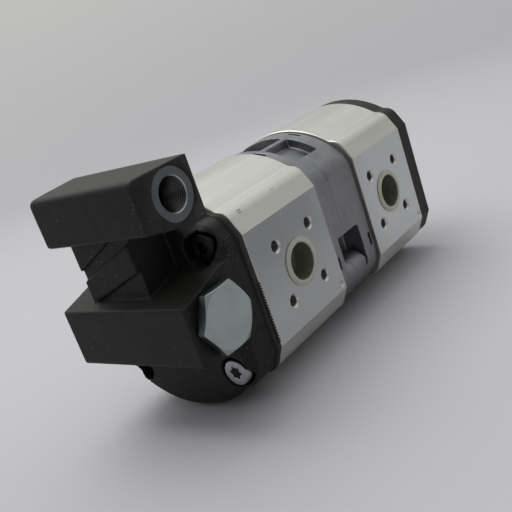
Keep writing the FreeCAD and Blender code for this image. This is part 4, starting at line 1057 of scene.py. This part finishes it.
    def _bar(self, centre: Vector, size: Vector, lean: float) -> bpy.types.Mesh:
        """A low bar with rounded ends and edges, sunk half into the skin.

        Args:
            centre: Its centre in millimetres.
            size: Its length, height and width.
            lean: How far it leans with the skin, in degrees about X.

        Returns:
            The mesh.
        """
        mesh = soft_box((size.x, 2 * size.y, size.z), 0.22, 3)
        turn = Matrix.Rotation(math.radians(-lean), 4, "X") @ Matrix.Rotation(math.radians(-9), 4, "Y")
        mesh.transform(Matrix.Translation(centre * MM) @ turn)
        return mesh


# ---------------------------------------------------------------- plugs and screws
@dataclass(frozen=True)
class HexShape:
    """Outline of a hexagon with rounded corners, and the height of its turned chamfer.

    Attributes:
        flats: Width across the flats.
        corner_r: Rounding of the six corners.
        top_r: Radius of the flat top inside the chamfer.
        chamfer: Drop of the chamfer for one millimetre outwards.
    """

    flats: float
    corner_r: float
    top_r: float
    chamfer: float = 0.42

    def radius(self, angle: float, inset: float = 0.0) -> float:
        """Outline radius at an angle, with a corner at angle zero.

        Args:
            angle: Angle from the first corner.
            inset: Distance that the whole outline is drawn in.

        Returns:
            The radius.
        """
        off = (angle + math.pi / 6) % (math.pi / 3) - math.pi / 6
        sharp = (self.flats / 2 - inset) / math.cos(math.pi / 6 - abs(off))
        centre = (self.flats / 2 - inset - self.corner_r) / math.cos(math.pi / 6)
        cross = centre * math.sin(off)
        if abs(cross) > self.corner_r:
            return sharp
        rounded = centre * math.cos(off) + math.sqrt(self.corner_r ** 2 - cross ** 2)
        return min(sharp, rounded)

    def top(self, angle: float, height: float, inset: float = 0.0) -> float:
        """Height of the chamfer's lower edge at an angle."""
        return height - max(0.0, self.radius(angle, inset) - self.top_r) * self.chamfer


@dataclass
class SpoolValve:
    """Hex plug and end plug of the spool bore.

    Attributes:
        finishes: Materials to dress the pieces with.
        corner_r: Rounding of the hexagon's corners.
        shoulder: Width of the broken edge above its walls.
        segments: Points round the hexagon.
        wall_band: Last band of its rings that is plated side, in a darker copy of the plate as painted shade,
            and not chamfer.
    """

    finishes: Finishes
    corner_r: float = 0.9
    shoulder: float = 0.18
    segments: int = 180
    wall_band: int = 8

    def build(self) -> None:
        """Make both plugs."""
        self._hex_plug()
        self._end_plug()

    def _hex_plug(self) -> None:
        """The hexagonal plug on the port side, with its shank and spring pocket."""
        place, seal = Place.of("hex_plug"), Place.of("hex_plug_seal")
        flats = (place.high.x - place.low.x) * math.sqrt(3) / 2
        head = seal.low.y - place.low.y
        shape = HexShape(flats, self.corner_r, flats / 2 - 0.35)
        low = place.high.y - seal.low.y
        edge = self.shoulder
        rings: list[Ring] = [
            (6.6, -low + 9.0), (6.6, -low), (10.6, -low), (10.98, -low + 0.5), (10.98, -1.5),
            (10.4, -1.2), (10.4, 0.0), (lambda a: shape.radius(a, 0.25), 0.0),
            (lambda a: shape.radius(a), 0.25),
            (lambda a: shape.radius(a), lambda a: shape.top(a, head) - edge),
            (lambda a: min(shape.radius(a), shape.radius(a, edge)), lambda a: shape.top(a, head, edge)),
            (shape.top_r, head), (shape.top_r - 0.6, head - 0.02), (2.0, head - 0.05),
        ]
        mesh = ring_stack(rings, self.segments)
        centre = Vector((place.centre.x, seal.low.y, place.centre.z))
        mesh.transform(turn_to(Vector((0, -1, 0)), centre, Vector((1, 0, 0))))
        smooth_by_angle(mesh, 14)
        # Shank, seat and hex walls take the darker copy of the zinc plate: painted shade on the sides.
        for index, face in enumerate(mesh.polygons):
            face.material_index = 1 if index // self.segments <= self.wall_band else 0
        add_piece("hex_plug_body", mesh, "pump", ["hex_plug"],
                  [self.finishes.by_slot["zinc_plug"], self.finishes.plated_side_painted_shade])

    def _end_plug(self) -> None:
        """The round plug on the far side, with its hexagon socket."""
        place, seal = Place.of("end_plug"), Place.of("end_plug_seal")
        centre = Vector((place.centre.x, seal.high.y, place.centre.z))
        head_r = (place.high.x - place.low.x) / 2
        head, low = place.high.y - seal.high.y, seal.high.y - place.low.y
        socket = HexShape(8.0, 0.5, 0.0)
        rings: list[Ring] = [
            (8.5, -low), (8.98, -low + 0.5), (8.98, 0.0), (head_r - 0.3, 0.0), (head_r, 0.3),
            (head_r, head - 0.7),
            (head_r - 0.2, head - 0.3), (head_r - 0.7, head), (lambda a: socket.radius(a) + 0.5, head),
            (lambda a: socket.radius(a), head - 0.5), (lambda a: socket.radius(a), head - 5.0),
            (0.4, head - 6.0),
        ]
        mesh = ring_stack(rings, 144)
        mesh.transform(turn_to(Vector((0, 1, 0)), centre))
        smooth_by_angle(mesh, 20)
        piece = add_piece("end_plug_body", mesh, "pump", ["end_plug"])
        self.finishes.dress(piece, "zinc_plug")


@dataclass
class TieScrews:
    """Four long screws with six-lobed sockets.

    Attributes:
        finishes: Materials to dress the piece with.
        head_r: Radius of the head.
        head: Length of the head.
        socket_r: Outer radius of the socket.
        shank_r: Radius of the shank.
        sunk: How much deeper three of the heads sit than the near lower one.
    """

    finishes: Finishes
    sunk: float = 7.0
    head_r: float = 6.5
    head: float = 8.0
    socket_r: float = 3.1
    shank_r: float = 4.0

    def build(self) -> None:
        """Make the screws where the frame has them."""
        box = Place.of("tie_screws")
        ys = (box.low.y + self.head_r, box.high.y - self.head_r)
        zs = (box.low.z + self.head_r, box.high.z - self.head_r)
        meshes = []
        for z in zs:
            for y in ys:
                near = z < box.centre.z and y < 0
                top = box.low.x if near else box.low.x + self.sunk
                mesh = self._screw(box.high.x - top)
                mesh.transform(turn_to(Vector((-1, 0, 0)), Vector((top, y, z)), Vector((0, 0.35, 1))))
                # The three sunk screws take the near-black copy of the steel: painted shade in their pockets.
                for face in mesh.polygons:
                    face.material_index = 0 if near else 1
                meshes.append(mesh)
        mesh = joined(meshes)
        smooth_by_angle(mesh, 24)
        add_piece("tie_screw_set", mesh, "pump", ["tie_screws"],
                  [self.finishes.by_slot["screw_steel"], self.finishes.sunk_head_painted_shade])

    def _lobe(self, angle: float) -> float:
        """Radius of the socket's six-lobed outline."""
        return self.socket_r * (0.86 + 0.14 * math.cos(6 * angle))

    def _screw(self, length: float) -> bpy.types.Mesh:
        """One screw along Z with its top at zero."""
        r = self.head_r
        rings: list[Ring] = [
            (3.2, -length), (self.shank_r, -length + 0.8), (self.shank_r, -self.head), (r - 0.25, -self.head),
            (r, -self.head + 0.3), (r, -0.9), (r - 0.12, -0.5), (r - 0.45, -0.15), (r - 1.0, 0.0),
            (lambda a: self._lobe(a) + 0.55, 0.0), (lambda a: self._lobe(a) + 0.12, -0.22),
            (self._lobe, -0.6), (self._lobe, -4.0), (0.5, -4.6),
        ]
        return ring_stack(rings, 96)


# ---------------------------------------------------------------- bodies and ports
@dataclass
class StagePorts:
    """Port plugs and screw threads of one stage.

    Attributes:
        finishes: Materials to dress the pieces with.
        stage: Which stage.
        screw_r: Radius of the threaded holes' walls.
        sink: Depth of their countersinks.
        deep: Depth of the holes.
        inlet_pcd: Bolt circle of the inlet side.
        outlet_pcd: Bolt circle of the outlet side.
        cup_segments: Points round a plug.
        shade_band: Band of the plug's rings where the painted shade of its inside starts.
    """

    finishes: Finishes
    stage: Stage
    screw_r: float = 2.6
    sink: float = 0.9
    deep: float = 13.0
    inlet_pcd: float = 40.0
    outlet_pcd: float = 35.0
    cup_segments: int = 96
    shade_band: int = 14

    def build(self) -> None:
        """Make the plugs and the threads of both sides."""
        threads = []
        for side in PortSide:
            self._plug(side)
            threads += self._threads(side)
        mesh = joined(threads)
        smooth_by_angle(mesh, 40)
        add_piece(self.stage.value + "_port_screw_threads", mesh, "pump",
                  materials=[self.finishes.recess_painted_shade])

    def _node(self, side: PortSide) -> str:
        """Name of the plug's node on a side."""
        return "%s_%s_plug" % (self.stage.value, side.label)

    def _plug(self, side: PortSide) -> None:
        """The cup-shaped plug with its soft rolled rim."""
        node = self._node(side)
        place, body = Place.of(node), Place.of(self.stage.value + "_stage_body")
        port_y = body.low.y if side is PortSide.INLET else body.high.y
        rim_r = (place.high.x - place.low.x) / 2
        bore_r = rim_r - 2.0
        top = abs((place.low.y if side is PortSide.INLET else place.high.y) - port_y)
        deep = abs((place.high.y if side is PortSide.INLET else place.low.y) - port_y)
        wall, cup_r = 0.85, bore_r - 0.06
        inner = cup_r - wall
        rings: list[Ring] = [
            (0.3, -deep), (cup_r - 1.2, -deep), (cup_r - 0.4, -deep + 0.3), (cup_r, -deep + 1.1),
            (cup_r, 0.02),
            (rim_r - 0.15, 0.02), (rim_r, 0.15), (rim_r - 0.05, top * 0.5), (rim_r - 0.3, top * 0.62),
            (rim_r - 1.0, top * 0.66), (rim_r - 1.25, top * 0.9), (rim_r - 1.6, top), (inner + 0.6, top),
            (inner + 0.2, top - 0.12), (inner + 0.02, top - 0.45), (inner, top - 1.0), (inner, 0.0),
            (inner - 0.15, -deep * 0.5), (inner - 0.2, -deep + 2.2), (inner - 0.9, -deep + 1.1),
            (inner - 2.0, -deep + wall), (0.8, -deep + wall + 0.05),
        ]
        mesh = ring_stack(rings, self.cup_segments)
        smooth_by_angle(mesh, 48)
        # The inner wall and floor of the cup take the darker copy: painted shade inside the cup.
        wall_faces = range(self.cup_segments * self.shade_band, self.cup_segments * (len(rings) - 1))
        for index, face in enumerate(mesh.polygons):
            face.material_index = 1 if index in wall_faces else 0
        mesh.transform(turn_to(Vector((0, side.sign, 0)), Vector((place.centre.x, port_y, place.centre.z))))
        cap = "%s_%s_cap" % (self.stage.value, side.label)
        add_piece(node + "_cup", mesh, cap, [node],
                  [self.finishes.by_slot["plug_plastic"], self.finishes.cup_painted_shade])

    def _threads(self, side: PortSide) -> list[bpy.types.Mesh]:
        """Threads in the four screw holes of one side."""
        place, body = Place.of(self._node(side)), Place.of(self.stage.value + "_stage_body")
        face = body.low.y if side is PortSide.INLET else body.high.y
        pcd = self.inlet_pcd if side is PortSide.INLET else self.outlet_pcd
        step = pcd / 2 / math.sqrt(2)
        meshes = []
        for dx in (-step, step):
            for dz in (-step, step):
                ridge = ThreadCut(self.screw_r - 0.02, self.screw_r - 0.4, 1.0, self.sink - 0.1,
                                  self.deep - 2.0, 30)
                # Dark lining of each hole, in the recess material: painted shade inside the hole.
                liner_r = self.screw_r - 0.03
                liner = ring_stack([(self.screw_r + 0.05, self.sink + 0.05), (liner_r, self.sink + 0.02),
                                    (liner_r, self.deep - 0.1), (0.2, self.deep - 0.05)], 32)
                centre = Vector((place.centre.x + dx, face, place.centre.z + dz))
                for mesh in (ridge.mesh(), self._open(liner)):
                    mesh.transform(turn_to(Vector((0, -side.sign, 0)), centre))
                    meshes.append(mesh)
        return meshes

    def _open(self, mesh: bpy.types.Mesh) -> bpy.types.Mesh:
        """Take the widest cap off a stack, so that it's a cup that opens at its first ring."""
        edit = bmesh.new()
        edit.from_mesh(mesh)
        lid = max((face for face in edit.faces if len(face.verts) > 4), key=lambda face: face.calc_area())
        bmesh.ops.delete(edit, geom=[lid], context="FACES_ONLY")
        bmesh.ops.reverse_faces(edit, faces=edit.faces)
        edit.to_mesh(mesh)
        edit.free()
        return mesh


@dataclass
class BodyMarks:
    """Small marks left in the rear body: two pairs of nicks across its lobe.

    Attributes:
        finishes: Materials to dress the piece with.
        gap: Distance between the two strokes of a pair.
        stroke: Width, length and thickness of a stroke.
    """

    finishes: Finishes
    gap: float = 1.3
    stroke: tuple[float, float, float] = (0.34, 2.2, 0.12)

    def build(self) -> None:
        """Lay both pairs on the lobe of the port side."""
        body = Place.of("rear_stage_body")
        places = (
            (Vector((body.low.x + 8.3, body.low.y + 4.6, body.high.z - 14.5)), 31.4),
            (Vector((body.low.x + 34.9, body.low.y + 5.4, body.high.z - 13.6)), 45.0),
        )
        meshes = [self._stroke(centre, lean, side) for centre, lean in places for side in (-1, 1)]
        # The strokes take the dark recess material: painted shade in the nicks.
        add_piece("rear_body_nicks", joined(meshes), "pump",
                  materials=[self.finishes.recess_painted_shade])

    def _stroke(self, centre: Vector, lean: float, side: int) -> bpy.types.Mesh:
        """One thin stroke, flat on the skin.

        Args:
            centre: Middle of the pair, on the skin, in millimetres.
            lean: How far the skin leans back from upright, in degrees.
            side: Which of the pair: -1 or 1.

        Returns:
            The mesh.
        """
        mesh = soft_box(self.stroke, 0.03, 2)
        place = Matrix.Translation((centre + Vector((side * self.gap / 2, 0, 0))) * MM)
        mesh.transform(place @ Matrix.Rotation(math.radians(90 - lean), 4, "X"))
        return mesh


@dataclass
class CouplingHousings:
    """The two die-cast housings between the stages.

    Attributes:
        finishes: Materials to dress the castings with.
        skin: How the castings' meshes are made.
    """

    finishes: Finishes
    skin: CastSkin = CastSkin(voxel=0.45, rounds=2, wave=0.04, wave_length=7.0, faces=120_000)

    def build(self) -> None:
        """Make both castings, with their joint faces flat."""
        for node in ("coupling_housing_rear", "coupling_housing_front"):
            place = Place.of(node)

            def machined(points: np.ndarray, place: Place = place) -> np.ndarray:
                """Points of the two joint faces, which stay flat."""
                flat = np.full_like(points, np.nan)
                rear = near(points[:, 0], place.low.x, 0.25)
                flat[:, 0] = np.where(np.isnan(rear), near(points[:, 0], place.high.x, 0.25), rear)
                return flat

            mesh = self.skin.mesh(node, machined)
            piece = add_piece(node + "_casting", mesh, "pump", [node])
            self.finishes.dress(piece, "cast_housing")


# ---------------------------------------------------------------- drive end
@dataclass
class DriveEnd:
    """Nut and split washer on the taper shaft.

    Attributes:
        finishes: Materials to dress the pieces with.
        thread_r: Radius of the shaft's thread.
        flats: Width of the nut.
        split: Gap of the washer, in degrees.
    """

    finishes: Finishes
    thread_r: float = 6.05
    flats: float = 19.0
    split: float = 8.0

    def build(self) -> None:
        """Make the nut and the washer."""
        self._nut()
        self._washer()

    def _nut(self) -> None:
        """Hexagon nut, chamfered on both sides."""
        place = Place.of("shaft_nut")
        length = place.high.x - place.low.x
        shape = HexShape(self.flats, 0.5, self.flats / 2 - 0.2, 0.5)
        rings: list[Ring] = [
            (self.thread_r, 0.6), (self.thread_r + 0.6, 0.0), (shape.top_r, 0.0),
            (lambda a: shape.radius(a), lambda a: length - shape.top(a, length)),
            (lambda a: shape.radius(a), lambda a: shape.top(a, length)), (shape.top_r, length),
            (self.thread_r + 0.6, length), (self.thread_r, length - 0.6),
        ]
        mesh = ring_stack(rings, 180, close=True)
        mesh.transform(turn_to(Vector((1, 0, 0)), Vector((place.low.x, 0, 0))))
        smooth_by_angle(mesh, 16)
        piece = add_piece("shaft_nut_body", mesh, "drive_train", ["shaft_nut"])
        self.finishes.dress(piece, "screw_steel")

    def _washer(self) -> None:
        """Split spring washer, its ends a little apart."""
        place = Place.of("lock_washer")
        outer, thick = (place.high.y - place.low.y) / 2, place.high.x - place.low.x
        inner, steps = self.thread_r, 90
        section = [(inner, 0.15), (inner + 0.2, 0.0), (outer - 0.25, 0.0), (outer, 0.25),
                   (outer, 0.75), (outer - 0.25, 1.0), (inner + 0.2, 1.0), (inner, 0.85)]
        edit = bmesh.new()
        loops = []
        for i in range(steps + 1):
            share = i / steps
            angle = math.radians(self.split / 2 + (360 - self.split) * share)
            lift = 0.18 * thick * share
            loops.append([edit.verts.new((r * math.cos(angle) * MM, r * math.sin(angle) * MM,
                                          (lift + h * thick * 0.8) * MM)) for r, h in section])
        skin_sections(edit, loops)
        edit.faces.new(loops[0])
        edit.faces.new(list(reversed(loops[-1])))
        bmesh.ops.recalc_face_normals(edit, faces=edit.faces)
        mesh = take_mesh(edit, "washer")
        mesh.transform(turn_to(Vector((1, 0, 0)), Vector((place.low.x, 0, 0))))
        smooth_by_angle(mesh, 30)
        piece = add_piece("lock_washer_split", mesh, "drive_train", ["lock_washer"])
        self.finishes.dress(piece, "spring_steel")


@dataclass
class CarriedNodes:
    """Nodes whose own shape shows: they only take their finish."""

    finishes: Finishes

    def build(self) -> None:
        """Dress every node that no other piece stands for."""
        for row in frame["record"]["subparts"]:
            node = frame["nodes"][row["node"]]
            if not node.hide_render:
                self.finishes.dress(node, row["material_slot"])
                LOG.info("%s keeps its shape in %s", row["node"], row["material_slot"])


def main() -> None:
    """Build the studio and every sub-assembly in order, and report each piece."""
    logging.basicConfig(level=logging.INFO, format="%(name)s %(message)s")
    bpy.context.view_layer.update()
    Studio().build()
    finishes = Finishes()
    ValveCover(finishes).build()
    SpoolValve(finishes).build()
    TieScrews(finishes).build()
    for stage in Stage:
        StagePorts(finishes, stage).build()
    BodyMarks(finishes).build()
    CouplingHousings(finishes).build()
    DriveEnd(finishes).build()
    CarriedNodes(finishes).build()


if __name__ == "__main__":
    main()
